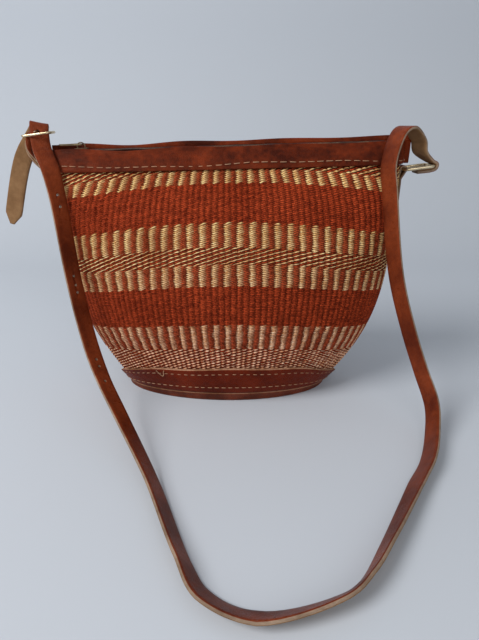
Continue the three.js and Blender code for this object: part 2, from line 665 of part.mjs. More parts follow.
function strapHole(place) {
  const { centre, along, width } = strapAt(strapPath.getUtoTmapping(place));
  const punch = new THREE.CylinderGeometry(HOLE_RADIUS, HOLE_RADIUS, STRAP_THICKNESS * 4, HOLE_SIDES);
  const normal = width.cross(along).normalize();
  punch.applyQuaternion(new THREE.Quaternion().setFromUnitVectors(new THREE.Vector3(0, 1, 0), normal));
  return solid(punch.translate(centre.x, centre.y, centre.z));
}

function prongHole() {
  const depth = BUCKLE_REACH - BUCKLE_WIRE;
  const punch = new THREE.CylinderGeometry(PRONG_HOLE_RADIUS, PRONG_HOLE_RADIUS, depth, HOLE_SIDES);
  punch.scale(1, 1, 1.5);
  return solid(onBar(punch.translate(0, -BUCKLE_REACH / 2, BUCKLE_WIRE / 2)));
}
add(bag, 'shoulder_strap', shoulderStrap(), leather(0x7a3520));

export default bag;
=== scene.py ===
import math

import bmesh
import bpy
import numpy as np
from mathutils import Matrix, Vector


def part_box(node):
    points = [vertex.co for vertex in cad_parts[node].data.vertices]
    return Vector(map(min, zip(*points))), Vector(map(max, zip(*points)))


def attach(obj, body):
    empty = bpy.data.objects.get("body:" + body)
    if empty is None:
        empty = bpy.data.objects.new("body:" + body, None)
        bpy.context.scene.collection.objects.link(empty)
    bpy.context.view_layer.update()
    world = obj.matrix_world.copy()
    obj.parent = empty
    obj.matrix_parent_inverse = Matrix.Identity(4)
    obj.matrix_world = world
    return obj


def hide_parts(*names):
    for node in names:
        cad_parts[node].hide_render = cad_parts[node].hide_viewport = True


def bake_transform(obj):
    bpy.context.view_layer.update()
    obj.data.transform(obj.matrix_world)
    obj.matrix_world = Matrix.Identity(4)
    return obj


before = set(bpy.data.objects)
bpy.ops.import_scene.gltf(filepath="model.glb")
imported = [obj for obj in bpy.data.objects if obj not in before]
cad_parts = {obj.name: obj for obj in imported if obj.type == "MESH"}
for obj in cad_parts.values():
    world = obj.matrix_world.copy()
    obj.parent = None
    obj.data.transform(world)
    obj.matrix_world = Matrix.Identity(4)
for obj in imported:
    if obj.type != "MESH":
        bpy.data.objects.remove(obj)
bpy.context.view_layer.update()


# Woven body: a basket twined by hand from sisal yarn. Two weft strands twist past each upright warp,
# so each row is a chain of short slanted stitches, and dyed and natural strands change places in bars,
# plain bands and twill bands. It hangs from the trims sewn on its rim and stands in the leather base.
BODY_LOW, BODY_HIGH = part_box("woven_body")
MOUTH_HALF = BODY_HIGH.x
BELLY_HALF = BODY_HIGH.y
BODY_FLOOR = BODY_LOW.z
RIM_HEIGHT = 0.222
BELLY_HEIGHT = 0.090
SHOULDER_HEIGHT = 0.140
FLOOR_HALF_WIDTH = 0.092
FLOOR_HALF_DEPTH = 0.041
MOUTH_HALF_DEPTH = 0.009
SIDE_ROUNDNESS = 2.4
MOUTH_SQUARENESS = 3
MOUTH_TILT = math.radians(1.6)
WEAVE_WALL = 0.004
LEFT_SWELL = 0.007
LEFT_SWELL_TOP = 0.060

WARPS = 130
COLUMNS_PER_WARP = 4
LINES_PER_ROW = 3
ROW_HEIGHT = 0.00145
WEAVE_BOTTOM = 0.012
WEAVE_TOP = 0.2336
WEAVE_ROWS = round((WEAVE_TOP - WEAVE_BOTTOM) / ROW_HEIGHT)
WEAVE_MAP_LOW, WEAVE_MAP_HIGH = 0.05, 0.85
RIM_UNDER_TRIM = 0.003
WOVEN_RIM = RIM_HEIGHT - RIM_UNDER_TRIM
INSIDE_TOP, INSIDE_FOOT = 0.2, 0.03
STITCH_RELIEF = 0.0015
RELIEF_INSIDE = 0.6
ROPE_RELIEF, WARP_RELIEF, WARP_ROUNDNESS = 0.65, 0.75, 0.7
# The top bars lean towards the middle, most at the rim: by this many mesh columns, from this height up
TOP_LEAN, LEAN_FROM, LEAN_EASE = 18, 0.185, 1.5
DROOP_HEIGHTS = [0.0, 0.060, 0.082, 0.116, 0.134, 0.166, 0.194, 0.234]
DROOP_AT_ENDS = [0.026, 0.0255, 0.0215, 0.0185, 0.0175, 0.0158, 0.0126, 0.009]
# Heights at the front's middle where each band of the weave starts, from the base up
BARS, PLAIN, TWILL, ROPES = "bars", "plain", "twill", "ropes"
WEAVE_BANDS = [
    (0.000, TWILL),
    (0.061, BARS),
    (0.0825, PLAIN),
    (0.116, BARS),
    (0.1345, ROPES),
    (0.1475, BARS),
    (0.1640, TWILL),
    (0.1662, PLAIN),
    (0.194, BARS),
    (0.206, ROPES),
]
ROPES_PER_ROW = {BARS: 1.0, PLAIN: 1.0, TWILL: 1.0, ROPES: 0.95}
SUNK_STRAND = 0.35


def basket_half_width(z):
    rise = np.clip((z - BODY_FLOOR) / (SHOULDER_HEIGHT - BODY_FLOOR), 0, 1)
    flare = MOUTH_HALF - FLOOR_HALF_WIDTH
    return FLOOR_HALF_WIDTH + flare * (1 - (1 - rise) ** SIDE_ROUNDNESS)


def above_belly(z):
    return np.clip((z - BELLY_HEIGHT) / (RIM_HEIGHT - BELLY_HEIGHT), 0, 1)


def basket_half_depth(z):
    below = np.clip((BELLY_HEIGHT - z) / (BELLY_HEIGHT - BODY_FLOOR), 0, 1)
    foot = (BELLY_HALF - FLOOR_HALF_DEPTH) * below**2
    pinch = (BELLY_HALF - MOUTH_HALF_DEPTH) * above_belly(z) ** 2
    return BELLY_HALF - foot - pinch


def basket_point(angle, z, proud=0.0):
    """Points on the basket's outline at an angle round it and a height, standing proud of the weave."""
    angle, z = np.broadcast_arrays(np.asarray(angle, float), np.asarray(z, float))
    power = 2 / (2 + MOUTH_SQUARENESS * above_belly(z) ** 2)
    cosine, sine = np.cos(angle), np.sin(angle)
    x = (basket_half_width(z) + proud) * np.sign(cosine) * np.abs(cosine) ** power
    y = (basket_half_depth(z) + proud) * np.sign(sine) * np.abs(sine) ** power
    x = x - LEFT_SWELL * np.clip(-cosine, 0, 1) ** 2 * np.clip(1 - z / LEFT_SWELL_TOP, 0, 1) ** 2
    lift = x * math.tan(MOUTH_TILT) * (z / RIM_HEIGHT) ** 2
    return np.stack([x, y, z + lift], axis=-1)


def unit(vectors):
    return vectors / np.maximum(np.linalg.norm(vectors, axis=-1, keepdims=True), 1e-12)


def distance_along(points):
    return np.concatenate([[0], np.cumsum(np.linalg.norm(np.diff(points, axis=0), axis=1))])


def between(wanted, known, points):
    """Places on the straight lines between points, which lie at known distances."""
    return np.stack([np.interp(wanted, known, points[:, k]) for k in range(3)], axis=-1)


def even_columns(z, count, proud=0.0, fine=2400):
    """One level of the basket, as points the same distance apart round it."""
    ring = basket_point(np.linspace(0, 2 * math.pi, fine + 1), z, proud)
    travelled = distance_along(ring)
    return between(np.arange(count) / count * travelled[-1], travelled, ring)


def smooth_piece(name, points, faces):
    mesh = bpy.data.meshes.new(name)
    mesh.from_pydata(points, [], faces)
    mesh.polygons.foreach_set("use_smooth", [True] * len(mesh.polygons))
    piece = bpy.data.objects.new(name, mesh)
    bpy.context.scene.collection.objects.link(piece)
    return piece


def grid_mesh(name, points, closed=True, capped=False, maps=None):
    """A piece from rows of points: closed joins each row's ends, capped fills the first and last row."""
    rows, columns = points.shape[:2]
    index = np.arange(rows * columns).reshape(rows, columns)
    right = np.roll(index, -1, axis=1) if closed else index[:, 1:]
    left = index if closed else index[:, :-1]
    faces = np.stack([left[:-1], right[:-1], right[1:], left[1:]], axis=-1).reshape(-1, 4).tolist()
    if capped:
        faces += [index[0][::-1].tolist(), index[-1].tolist()]
    piece = smooth_piece(name, points.reshape(-1, 3).tolist(), faces)
    if maps is not None:
        across, up = maps
        corner_u = np.stack([across[:-1], across[1:], across[1:], across[:-1]], axis=-1)[None]
        corner_v = np.stack([up[:-1], up[:-1], up[1:], up[1:]], axis=-1)[:, None]
        corners = np.stack(np.broadcast_arrays(corner_u, corner_v), axis=-1).reshape(-1, 2)
        flat = np.zeros((len(piece.data.loops), 2), np.float32)
        flat[: len(corners)] = corners
        piece.data.uv_layers.new(name="OFBake").data.foreach_set("uv", flat.reshape(-1))
    return piece


def woven_wall():
    columns = WARPS * COLUMNS_PER_WARP
    levels = np.linspace(BODY_FLOOR, RIM_HEIGHT, 90)
    table = np.stack([even_columns(z, columns, -STITCH_RELIEF * RELIEF_INSIDE) for z in levels])
    row = np.arange(WEAVE_ROWS * LINES_PER_ROW + 1)[:, None] / LINES_PER_ROW
    warp = np.arange(columns)[None, :] / COLUMNS_PER_WARP
    starts, kinds = zip(*WEAVE_BANDS)
    band = np.searchsorted(starts, WEAVE_BOTTOM + row[:, 0] * ROW_HEIGHT, side="right") - 1
    rope = (row - warp) * np.array([ROPES_PER_ROW[kind] for kind in kinds])[band][:, None]
    on_rope = np.cos(math.pi * (rope - np.round(rope)))
    twilled = np.array([kind in (TWILL, ROPES) for kind in kinds])[band][:, None]
    sunk = np.where(twilled & (np.round(rope) % 2 == 0), SUNK_STRAND, 1)
    on_warp = np.sin(math.pi * (warp - np.floor(warp)))
    centre_height = np.broadcast_to(WEAVE_BOTTOM + row * ROW_HEIGHT, rope.shape)
    droop = np.interp(centre_height, DROOP_HEIGHTS, DROOP_AT_ENDS)
    climb = np.clip((centre_height - LEAN_FROM) / (WEAVE_TOP - LEAN_FROM), 0, 1) ** LEAN_EASE
    height = centre_height.copy()
    column = np.broadcast_to(np.arange(columns, dtype=float), height.shape)
    for _ in range(5):
        kept = np.clip(height, BODY_FLOOR, WOVEN_RIM)
        share = (kept - BODY_FLOOR) / (RIM_HEIGHT - BODY_FLOOR) * (len(levels) - 1)
        below = np.minimum(share.astype(int), len(levels) - 2)
        part = (share - below)[..., None]
        first = np.floor(column).astype(int)
        beside = (column - first)[..., None]
        left, right = first % columns, (first + 1) % columns
        lower = table[below, left] * (1 - beside) + table[below, right] * beside
        upper = table[below + 1, left] * (1 - beside) + table[below + 1, right] * beside
        points = lower * (1 - part) + upper * part
        out = np.clip(points[..., 0] / MOUTH_HALF, -1, 1)
        height = centre_height - droop * out**2
        to_middle = np.where(points[..., 1] < 0, -1, 1) * out * (1 - out**2) * climb
        column = np.arange(columns) + TOP_LEAN * to_middle
    side = np.roll(points, -1, axis=1) - np.roll(points, 1, axis=1)
    rise = np.gradient(points, axis=0)
    rounded = (1 - ROPE_RELIEF * (1 - on_rope)) * (1 - WARP_RELIEF * (1 - on_warp**WARP_ROUNDNESS))
    return points + unit(np.cross(side, rise)) * (STITCH_RELIEF * sunk * rounded)[..., None]


def basket_floor(columns, z, share):
    ring = even_columns(z, columns, -WEAVE_WALL)
    return ring * np.array([share, share, 1])


def woven_body():
    wall = woven_wall()
    columns = wall.shape[1]
    rim = [even_columns(WOVEN_RIM, columns, -WEAVE_WALL * share) for share in (0.5, 1)]
    inside = [even_columns(z, columns, -WEAVE_WALL) for z in np.linspace(INSIDE_TOP, INSIDE_FOOT, 8)]
    floor_in = [basket_floor(columns, BODY_FLOOR + WEAVE_WALL, share) for share in (0.9, 0.5, 0.1)]
    floor_out = [basket_floor(columns, BODY_FLOOR, share) for share in (0.1, 0.5, 0.97)]
    rings = np.stack([*floor_out, *wall, *rim, *inside, *floor_in])
    up = np.concatenate([
        np.linspace(0, 0.04, len(floor_out)),
        np.linspace(WEAVE_MAP_LOW, WEAVE_MAP_HIGH, len(wall)),
        np.linspace(0.86, 1, len(rim) + len(inside) + len(floor_in)),
    ])
    across = np.linspace(0, 1, columns + 1)
    return grid_mesh("woven_basket", rings, capped=True, maps=(across, up))


def add_node(tree, kind, sockets=None, **settings):
    made = tree.nodes.new("ShaderNode" + kind)
    for key, value in settings.items():
        setattr(made, key, value)
    for name, value in (sockets or {}).items():
        if isinstance(value, bpy.types.NodeSocket):
            tree.links.new(value, made.inputs[name])
        else:
            made.inputs[name].default_value = value
    return made


def tree_of(*values):
    return next(value.id_data for value in values if isinstance(value, bpy.types.NodeSocket))


def maths(operation, *values):
    return add_node(tree_of(*values), "Math", dict(enumerate(values)), operation=operation).outputs[0]


def plus(*values):
    return maths("ADD", *values)


def minus(*values):
    return maths("SUBTRACT", *values)


def times(*values):
    return maths("MULTIPLY", *values)


def times_plus(*values):
    return maths("MULTIPLY_ADD", *values)


def mixed(share, low, high, blend="MIX"):
    sockets = {0: share, 6: low, 7: high}
    return add_node(tree_of(share, low, high), "Mix", sockets, data_type="RGBA", blend_type=blend).outputs[2]


def spread(value, low, high, to_low=0.0, to_high=1.0):
    sockets = {0: value, 1: low, 2: high, 3: to_low, 4: to_high}
    return add_node(value.id_data, "MapRange", sockets, clamp=True).outputs[0]


def noise(place, scale, detail=2.0):
    sockets = {"Vector": place, "Scale": scale, "Detail": detail}
    return add_node(place.id_data, "TexNoise", sockets).outputs[0]


def body_place(tree):
    return add_node(tree, "TexCoord").outputs["Object"]


def new_material(name, **constants):
    material = bpy.data.materials.new(name)
    material.use_nodes = True
    shader = material.node_tree.nodes["Principled BSDF"]
    for socket, value in constants.items():
        shader.inputs[socket.replace("_", " ")].default_value = value
    return material, material.node_tree, shader


def wired(shader, **sources):
    for name, source in sources.items():
        source.id_data.links.new(source, shader.inputs[name.replace("_", " ")])


def bumped(shader, height, distance, strength=1.0):
    sockets = {"Height": height, "Distance": distance, "Strength": strength}
    wired(shader, Normal=add_node(height.id_data, "Bump", sockets).outputs[0])


DYED_SISAL = (0.110, 0.009, 0.003, 1)
DYED_SISAL_PALE = (0.460, 0.062, 0.018, 1)
NATURAL_SISAL = (0.70, 0.310, 0.080, 1)
NATURAL_SISAL_PALE = (1.0, 0.78, 0.37, 1)
# Near-black colour of the painted shade in the weave's gaps
SISAL_GAP_PAINTED_SHADE = (0.030, 0.005, 0.002, 1)
SISAL_SHEEN = (1.0, 0.6, 0.4, 1)
SISAL_SOILED = (0.62, 0.50, 0.42, 1)
SISAL_LOWER_TINT = (1.0, 0.88, 1.30, 1)
SAW_EDGE = 0.5
BAR_BLEED = 0.03


def sisal_weave():
    material, tree, shader = new_material(
        "twined_sisal", Roughness=0.82, Specular_IOR_Level=0.12, Specular_Tint=SISAL_SHEEN)
    place = add_node(tree, "UVMap", uv_map="OFBake").outputs[0]
    split = add_node(tree, "SeparateXYZ", {0: place})
    warp = times(split.outputs[0], WARPS)
    row = spread(split.outputs[1], WEAVE_MAP_LOW, WEAVE_MAP_HIGH, 0, WEAVE_ROWS)
    on_body = body_place(tree)
    uneven = noise(on_body, 160.0, 1.0)
    rope = plus(minus(row, warp), spread(uneven, 0.2, 0.8, -0.3, 0.3))
    rope_number = maths("ROUND", rope)
    in_rope = minus(rope, rope_number)
    poked = times_plus(in_rope, SAW_EDGE, warp)
    poked = plus(poked, spread(uneven, 0.2, 0.8, -0.18, 0.18))
    warp_number = maths("FLOOR", poked)
    in_warp = minus(minus(poked, warp_number), 0.5)
    row_number = plus(rope_number, warp_number)

    bands = add_node(tree, "ValToRGB", {0: maths("DIVIDE", row_number, WEAVE_ROWS)})
    bands.color_ramp.interpolation = "CONSTANT"
    stops = bands.color_ramp.elements
    # Each band's share of natural strands, whether it is twilled, and how dark the painted shade in the gaps
    # by its ropes is
    tones = {BARS: (1, 0, 0.85), PLAIN: (0, 0, 0.62), TWILL: (1, 1, 1), ROPES: (1, 1, 1.5)}
    stops.remove(stops[1])
    for height, band in WEAVE_BANDS:
        share = max(0, (height - WEAVE_BOTTOM) / (WEAVE_ROWS * ROW_HEIGHT))
        stop = stops[0] if share == 0 else stops.new(share)
        stop.color = (*tones[band], ROPES_PER_ROW[band])
    chosen = add_node(tree, "SeparateColor", {0: bands.outputs[0]})
    twilled = chosen.outputs[1]
    rope = times(rope, bands.outputs["Alpha"])
    rope_number = maths("ROUND", rope)
    in_rope = minus(rope, rope_number)
    turn = times_plus(minus(rope_number, warp_number), twilled, warp_number)
    natural = times(maths("ROUND", maths("PINGPONG", turn, 1)), chosen.outputs[0])

    stitch = add_node(tree, "CombineXYZ", {0: warp_number, 1: rope_number}).outputs[0]
    chance = add_node(tree, "TexWhiteNoise", {0: stitch}, noise_dimensions="2D").outputs[0]
    along = add_node(tree, "CombineXYZ", {0: times(warp, 2.4), 1: times(rope, 5.0)}).outputs[0]
    fibres = noise(along, 1.0, 3.0)
    patches = noise(on_body, 26.0, 3.0)
    specks = noise(on_body, 750.0, 2.0)
    tone = times_plus(chance, 0.45, spread(fibres, 0.3, 0.7, 0.0, 0.35))
    tone = plus(tone, spread(specks, 0.35, 0.65, -0.2, 0.5))
    dyed = mixed(tone, DYED_SISAL, DYED_SISAL_PALE)
    pale = mixed(tone, NATURAL_SISAL, NATURAL_SISAL_PALE)
    # The natural strands are tinted pinker towards the bottom
    low_down = spread(row, 0.2 * WEAVE_ROWS, 0.7 * WEAVE_ROWS, 1, 0)
    pale = mixed(low_down, pale, SISAL_LOWER_TINT, "MULTIPLY")
    # Painted shade: each dyed strand is lighter at the left of its warp and darker at the right, as if lit
    # from the left, and a little lighter in twill
    painted_rib_shade = times_plus(twilled, 0.1, spread(in_warp, -0.5, 0.5, 1.25, 0.6))
    shade = add_node(tree, "CombineColor", {0: painted_rib_shade, 1: painted_rib_shade, 2: painted_rib_shade}).outputs[0]
    dyed = mixed(1.0, dyed, shade, "MULTIPLY")
    # Painted shade: in the bars the natural strands fade into the dyed ones towards each warp's right side,
    # as if lit from the left
    bar_painted_shade = spread(in_warp, -0.3, 0.5, 1.0, 0.15)
    in_grain = spread(maths("ABSOLUTE", in_warp), 0.1, 0.5, 1.0, 0.2)
    shown = times_plus(minus(in_grain, bar_painted_shade), twilled, bar_painted_shade)
    beside_bar = times(minus(chosen.outputs[0], twilled), BAR_BLEED)
    yarn = mixed(maths("MAXIMUM", times(natural, shown), beside_bar), dyed, pale)
    yarn = mixed(spread(patches, 0.4, 0.7, 0.0, 0.6), yarn, SISAL_SOILED, "MULTIPLY")

    # Painted shade: the gaps between ropes and the right side of each warp are darkened where shade falls;
    # the same mask also sinks the bump
    beside_rope = spread(maths("ABSOLUTE", in_rope), 0.22, 0.5)
    bar_side = times(natural, minus(1, twilled))
    beside_warp = minus(spread(in_warp, 0.22, 0.5), bar_side)
    painted_gap_shade = maths("MAXIMUM", times(beside_rope, chosen.outputs[2]), times(beside_warp, 0.7))
    wired(shader, Base_Color=mixed(painted_gap_shade, yarn, SISAL_GAP_PAINTED_SHADE))
    relief = times_plus(fibres, 0.5, times(painted_gap_shade, -0.9))
    bumped(shader, relief, 0.0006, 0.8)
    return material


basket = woven_body()
basket.data.materials.append(sisal_weave())
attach(basket, "bag")
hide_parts("woven_body")


# Leather base: an oval sole with its edge turned up, and a wall of the same waxed leather that
# rises higher at front and back. Both are sewn to the basket with two rows of waxed thread,
# and the wall's top edge is left raw.
SOLE_THICKNESS = 0.0026
SOLE_EDGE_ROUND = 0.0016
SEAM_GAP = 0.0005
LEATHER = 0.0022
LEATHER_PROUD = SEAM_GAP + LEATHER
EDGE_ROUND = 0.0006
SOLE_LIP_FRONT, SOLE_LIP_END = 0.0095, 0.0045
CAP_TOP_FRONT, CAP_TOP_END = 0.041, 0.013
CAP_SWELL = 1.3
CAP_FLARE = 0.0009
CAP_BELLY = 0.0004
CAP_PUCKER, CAP_PUCKERS, CAP_PUCKER_SPAN = 0.00018, 96, 0.12
CAP_FOOT_GAP = 0.0003
# An uneven edge or seam is a sum of waves: each has its size, its turns and where it starts
HAND_CUT = [(0.0007, 5, 0.6), (0.0005, 11, 0)]
BASE_COLUMNS = 320
BASE_STITCH_PITCH = 0.0062
BASE_STITCH_LENGTH = 0.0038
LOOSE_THREAD_ANGLE, LOOSE_THREAD_SPAN = math.radians(-121), 0.075
LOOSE_THREAD_TOP, LOOSE_THREAD_HANG, LOOSE_THREAD_PROUD = 0.002, 0.0065, 0.0012
LOOSE_THREAD_STEP = 0.0012
THREAD = 0.0007
STITCH_WOBBLE, STITCH_LIFT, STITCH_DIVE = 0.03, 0.42, 11.6
UPPER_SEAM, LOWER_SEAM = 0.80, 0.26
STITCH_SEAT = 0.0003
WALL_LEATHER = (0.180, 0.019, 0.004, 1)
WALL_LEATHER_DARK = (0.085, 0.009, 0.003, 1)
SOLE_LEATHER = (0.200, 0.040, 0.017, 1)
SOLE_LEATHER_DARK = (0.070, 0.013, 0.006, 1)
WARM_SHEEN = (1.0, 0.50, 0.34, 1)
RAW_LEATHER = (0.58, 0.32, 0.20, 1)
RAW_LEATHER_DARK = (0.25, 0.11, 0.05, 1)
WAXED_THREAD = (0.40, 0.20, 0.10, 1)
BASE_THREAD = (0.27, 0.115, 0.05, 1)
SOILED_THREAD = (0.24, 0.11, 0.055, 1)
PALE_STRAND = (0.66, 0.44, 0.26, 1)


TONE, VALUE = "NodeSocketColor", "NodeSocketFloat"


def new_effect(name, takes, gives):
    """An empty node group with named sockets: the group, what it is given and where it puts its results."""
    group = bpy.data.node_groups.new(name, "ShaderNodeTree")
    for way, sockets in (("INPUT", takes), ("OUTPUT", gives)):
        for socket, kind in sockets.items():
            group.interface.new_socket(socket, in_out=way, socket_type=kind)
    return group, group.nodes.new("NodeGroupInput").outputs, group.nodes.new("NodeGroupOutput")


def leather_group():
    """Tanned leather seen close: cloudy dye, pores and creases, as colour, roughness and height."""
    group, given, put = new_effect(
        "tanned_leather", {"Colour": TONE, "Dark": TONE, "Shine": VALUE, "Grain": VALUE},
        {"Colour": TONE, "Roughness": VALUE, "Height": VALUE})
    place = body_place(group)
    clouds = noise(place, 38.0, 4.0)
    scuffs = noise(place, 260.0, 5.0)
    cells = add_node(group, "TexVoronoi", {"Vector": place, "Scale": given["Grain"]},
                     feature="DISTANCE_TO_EDGE").outputs[0]
    pores = spread(cells, 0.0, 0.22)
    worn = spread(times_plus(scuffs, 0.45, clouds), 0.55, 0.92)
    colour = mixed(worn, given["Dark"], given["Colour"])
    colour = mixed(spread(pores, 0, 1, 0.35, 0.0), colour, given["Dark"])
    shine = times_plus(minus(0.5, clouds), 0.35, given["Shine"])
    rough = times_plus(minus(scuffs, 0.5), 0.30, shine)
    height = times_plus(scuffs, 0.5, times(pores, 0.6))
    wired(put, Colour=colour, Roughness=rough, Height=height)
    return group


TANNED_LEATHER = leather_group()


def leather(name, colour, dark, shine=0.46, grain=900.0, relief=0.00025, sheen=0.24):
    material, tree, shader = new_material(name, Specular_IOR_Level=sheen, Specular_Tint=WARM_SHEEN)
    sockets = {"Colour": colour, "Dark": dark, "Shine": shine, "Grain": grain}
    skin = add_node(tree, "Group", sockets, node_tree=TANNED_LEATHER).outputs
    wired(shader, Base_Color=skin["Colour"], Roughness=skin["Roughness"])
    bumped(shader, skin["Height"], relief)
    return material


def raw_edge(name, colour, dark):
    """Cut leather edges: pale fibres with the dye soaked in unevenly."""
    return leather(name, colour, dark, shine=0.75, grain=1700.0, relief=0.0004)


def wavy(waves, x):
    return sum(size * np.sin(turns * x + start) for size, turns, start in waves)


def swell(angle):
    return np.abs(np.sin(angle)) ** CAP_SWELL


def lip_top(angle):
    return SOLE_LIP_END + (SOLE_LIP_FRONT - SOLE_LIP_END) * swell(angle)


def cap_foot(angle):
    return lip_top(angle) + CAP_FOOT_GAP


def cap_top(angle):
    return CAP_TOP_END + (CAP_TOP_FRONT - CAP_TOP_END) * swell(angle) + wavy(HAND_CUT, angle)


def cap_height(angle, share):
    return cap_foot(angle) + (cap_top(angle) - cap_foot(angle)) * share


def running_stitches(name, places, outward, pitch, length, look, thread=THREAD):
    """Running stitches along places: short bent threads that dive into the leather at both ends."""
    travelled = distance_along(places)
    count = int(travelled[-1] / pitch)
    arc = np.linspace(-0.5, 0.5, 7)
    sides = np.linspace(0, 2 * math.pi, 6, endpoint=False)
    cosine, sine = np.cos(sides)[None, :, None], np.sin(sides)[None, :, None]
    index = np.arange(len(arc) * len(sides)).reshape(len(arc), len(sides))
    beside = np.roll(index, -1, axis=1)
    tube = np.stack([index[:-1], beside[:-1], beside[1:], index[1:]], axis=-1).reshape(-1, 4)
    chance = np.random.default_rng(count)
    verts, faces = [], []
    for i in range(count):
        wobble = chance.normal(0, STITCH_WOBBLE, 3)
        middle = (i + 0.5 + wobble[0]) * travelled[-1] / count
        along = np.clip(middle + arc * length * (1 + wobble[1]), 0, travelled[-1])
        centre = between(along, travelled, places)
        out = unit(between(along, travelled, outward))
        across = np.cross(unit(np.gradient(centre, axis=0)), out)
        lift = thread * (STITCH_LIFT - STITCH_DIVE * arc**4)
        centre = centre + out * lift[:, None] + across * (wobble[2] * arc * length)[:, None]
        rings = centre[:, None] + thread / 2 * (cosine * out[:, None] + sine * across[:, None])
        for face in (*tube, index[0][::-1], index[-1]):
            faces.append((face + len(verts)).tolist())
        verts.extend(rings.reshape(-1, 3).tolist())
    stitches = smooth_piece(name, verts, faces)
    stitches.data.materials.append(look)
    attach(stitches, "bag")


def outward_from_basket(angle, z, proud):
    here = basket_point(angle, z, proud)
    return unit(basket_point(angle, z, proud + 0.001) - here)


def thread_group():
    """Twisted thread: pale strands and soiled stretches, as colour and height."""
    group, given, put = new_effect("twisted_thread", {"Thread": TONE}, {"Colour": TONE, "Height": VALUE})
    place = body_place(group)
    strands = noise(place, 1500.0, 3.0)
    soiled = noise(place, 60.0)
    colour = mixed(spread(soiled, 0.3, 0.75), given["Thread"], SOILED_THREAD)
    colour = mixed(spread(strands, 0.3, 0.7, 0, 0.4), colour, PALE_STRAND)
    wired(put, Colour=colour, Height=strands)
    return group


TWISTED_THREAD = thread_group()


def thread_material(name, thread):
    material, tree, shader = new_material(name, Roughness=0.6)
    twist = add_node(tree, "Group", {"Thread": thread}, node_tree=TWISTED_THREAD).outputs
    wired(shader, Base_Color=twist["Colour"])
    bumped(shader, twist["Height"], 0.0002)
    return material


WAXED = thread_material("waxed_thread", WAXED_THREAD)
BASE_WAXED = thread_material("base_thread", BASE_THREAD)
round_base = np.linspace(0, 2 * math.pi, BASE_COLUMNS, endpoint=False)
base_leather = leather("base_wall_leather", WALL_LEATHER, WALL_LEATHER_DARK, shine=0.40, sheen=0.08)
sole_leather = leather("base_sole_leather", SOLE_LEATHER, SOLE_LEATHER_DARK, shine=0.5)
base_raw_edge = raw_edge("base_raw_edge", RAW_LEATHER, RAW_LEATHER_DARK)


def with_raw_edge(piece, skin, first_row, last_row):
    """Gives a ring of leather its skin, and the cut edge's look to its rows from first to last."""
    piece.data.materials.append(skin)
    piece.data.materials.append(base_raw_edge)
    for face in piece.data.polygons:
        if first_row <= face.index // BASE_COLUMNS <= last_row:
            face.material_index = 1
    return piece


def base_wall():
    inner, outer = SEAM_GAP, LEATHER_PROUD
    foot, top = cap_foot(round_base), cap_top(round_base)
    profile = [(foot + EDGE_ROUND, inner), (foot, inner + EDGE_ROUND), (foot, outer - EDGE_ROUND)]
    for share in np.linspace(0, 1, 15):
        by_seam = np.exp(-(((share - UPPER_SEAM) / CAP_PUCKER_SPAN) ** 2))
        puckered = CAP_PUCKER * np.sin(round_base * CAP_PUCKERS) * by_seam
        proud = outer + puckered + CAP_BELLY * math.sin(math.pi * share) + CAP_FLARE * share**5
        profile.append((foot + EDGE_ROUND + (top - foot - 2 * EDGE_ROUND) * share, proud))
    last_outside = len(profile) - 1
    profile += [(top, outer + CAP_FLARE - EDGE_ROUND), (top, inner + EDGE_ROUND), (top - EDGE_ROUND, inner)]
    profile.append(profile[0])
    wall = grid_mesh("base_wall", np.stack([basket_point(round_base, z, proud) for z, proud in profile]))
    return with_raw_edge(wall, base_leather, last_outside, last_outside + 2)


def base_tray():
    outer, lip, bend = LEATHER_PROUD, lip_top(round_base), SOLE_EDGE_ROUND
    profile = [(0, outer - bend, share) for share in (0.06, 0.3, 0.6, 0.85)]
    for turn in np.linspace(0, math.pi / 2, 5):
        profile.append((bend * (1 - math.cos(turn)), outer - bend * (1 - math.sin(turn)), 1))
    profile += [(bend + (lip - EDGE_ROUND - bend) * share, outer, 1) for share in (0.35, 0.7, 1)]
    last_outside = len(profile) - 1
    profile += [(lip, outer - EDGE_ROUND, 1), (lip, SEAM_GAP, 1)]
    profile += [(SOLE_THICKNESS, SEAM_GAP, share) for share in (1, 0.6, 0.06)]
    rings = [basket_point(round_base, z, proud) * np.array([share, share, 1]) for z, proud, share in profile]
    tray = grid_mesh("sole_tray", np.stack(rings), capped=True)
    return with_raw_edge(tray, sole_leather, last_outside, last_outside + 1)


for piece, node in ((base_wall(), "base_cap"), (base_tray(), "base_sole")):
    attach(piece, "bag")
    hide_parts(node)
curl = np.linspace(0, 1, 24)
thread_angle = LOOSE_THREAD_ANGLE + LOOSE_THREAD_SPAN * (curl - 0.5)
hang = cap_top(thread_angle) - LOOSE_THREAD_TOP - LOOSE_THREAD_HANG * np.sin(math.pi * curl) ** 1.5
running_stitches("loose_thread", basket_point(thread_angle, hang, LEATHER_PROUD + LOOSE_THREAD_PROUD),
                 outward_from_basket(thread_angle, hang, LEATHER_PROUD),
                 LOOSE_THREAD_STEP, LOOSE_THREAD_STEP * 1.25, WAXED)
round_again = np.linspace(0, 2 * math.pi, 900)
for name, share in (("base_upper_stitches", UPPER_SEAM), ("base_lower_stitches", LOWER_SEAM)):
    height = cap_height(round_again, share)
    on_wall = basket_point(round_again, height, LEATHER_PROUD + STITCH_SEAT)
    running_stitches(name, on_wall, outward_from_basket(round_again, height, LEATHER_PROUD),
                     BASE_STITCH_PITCH, BASE_STITCH_LENGTH, BASE_WAXED)


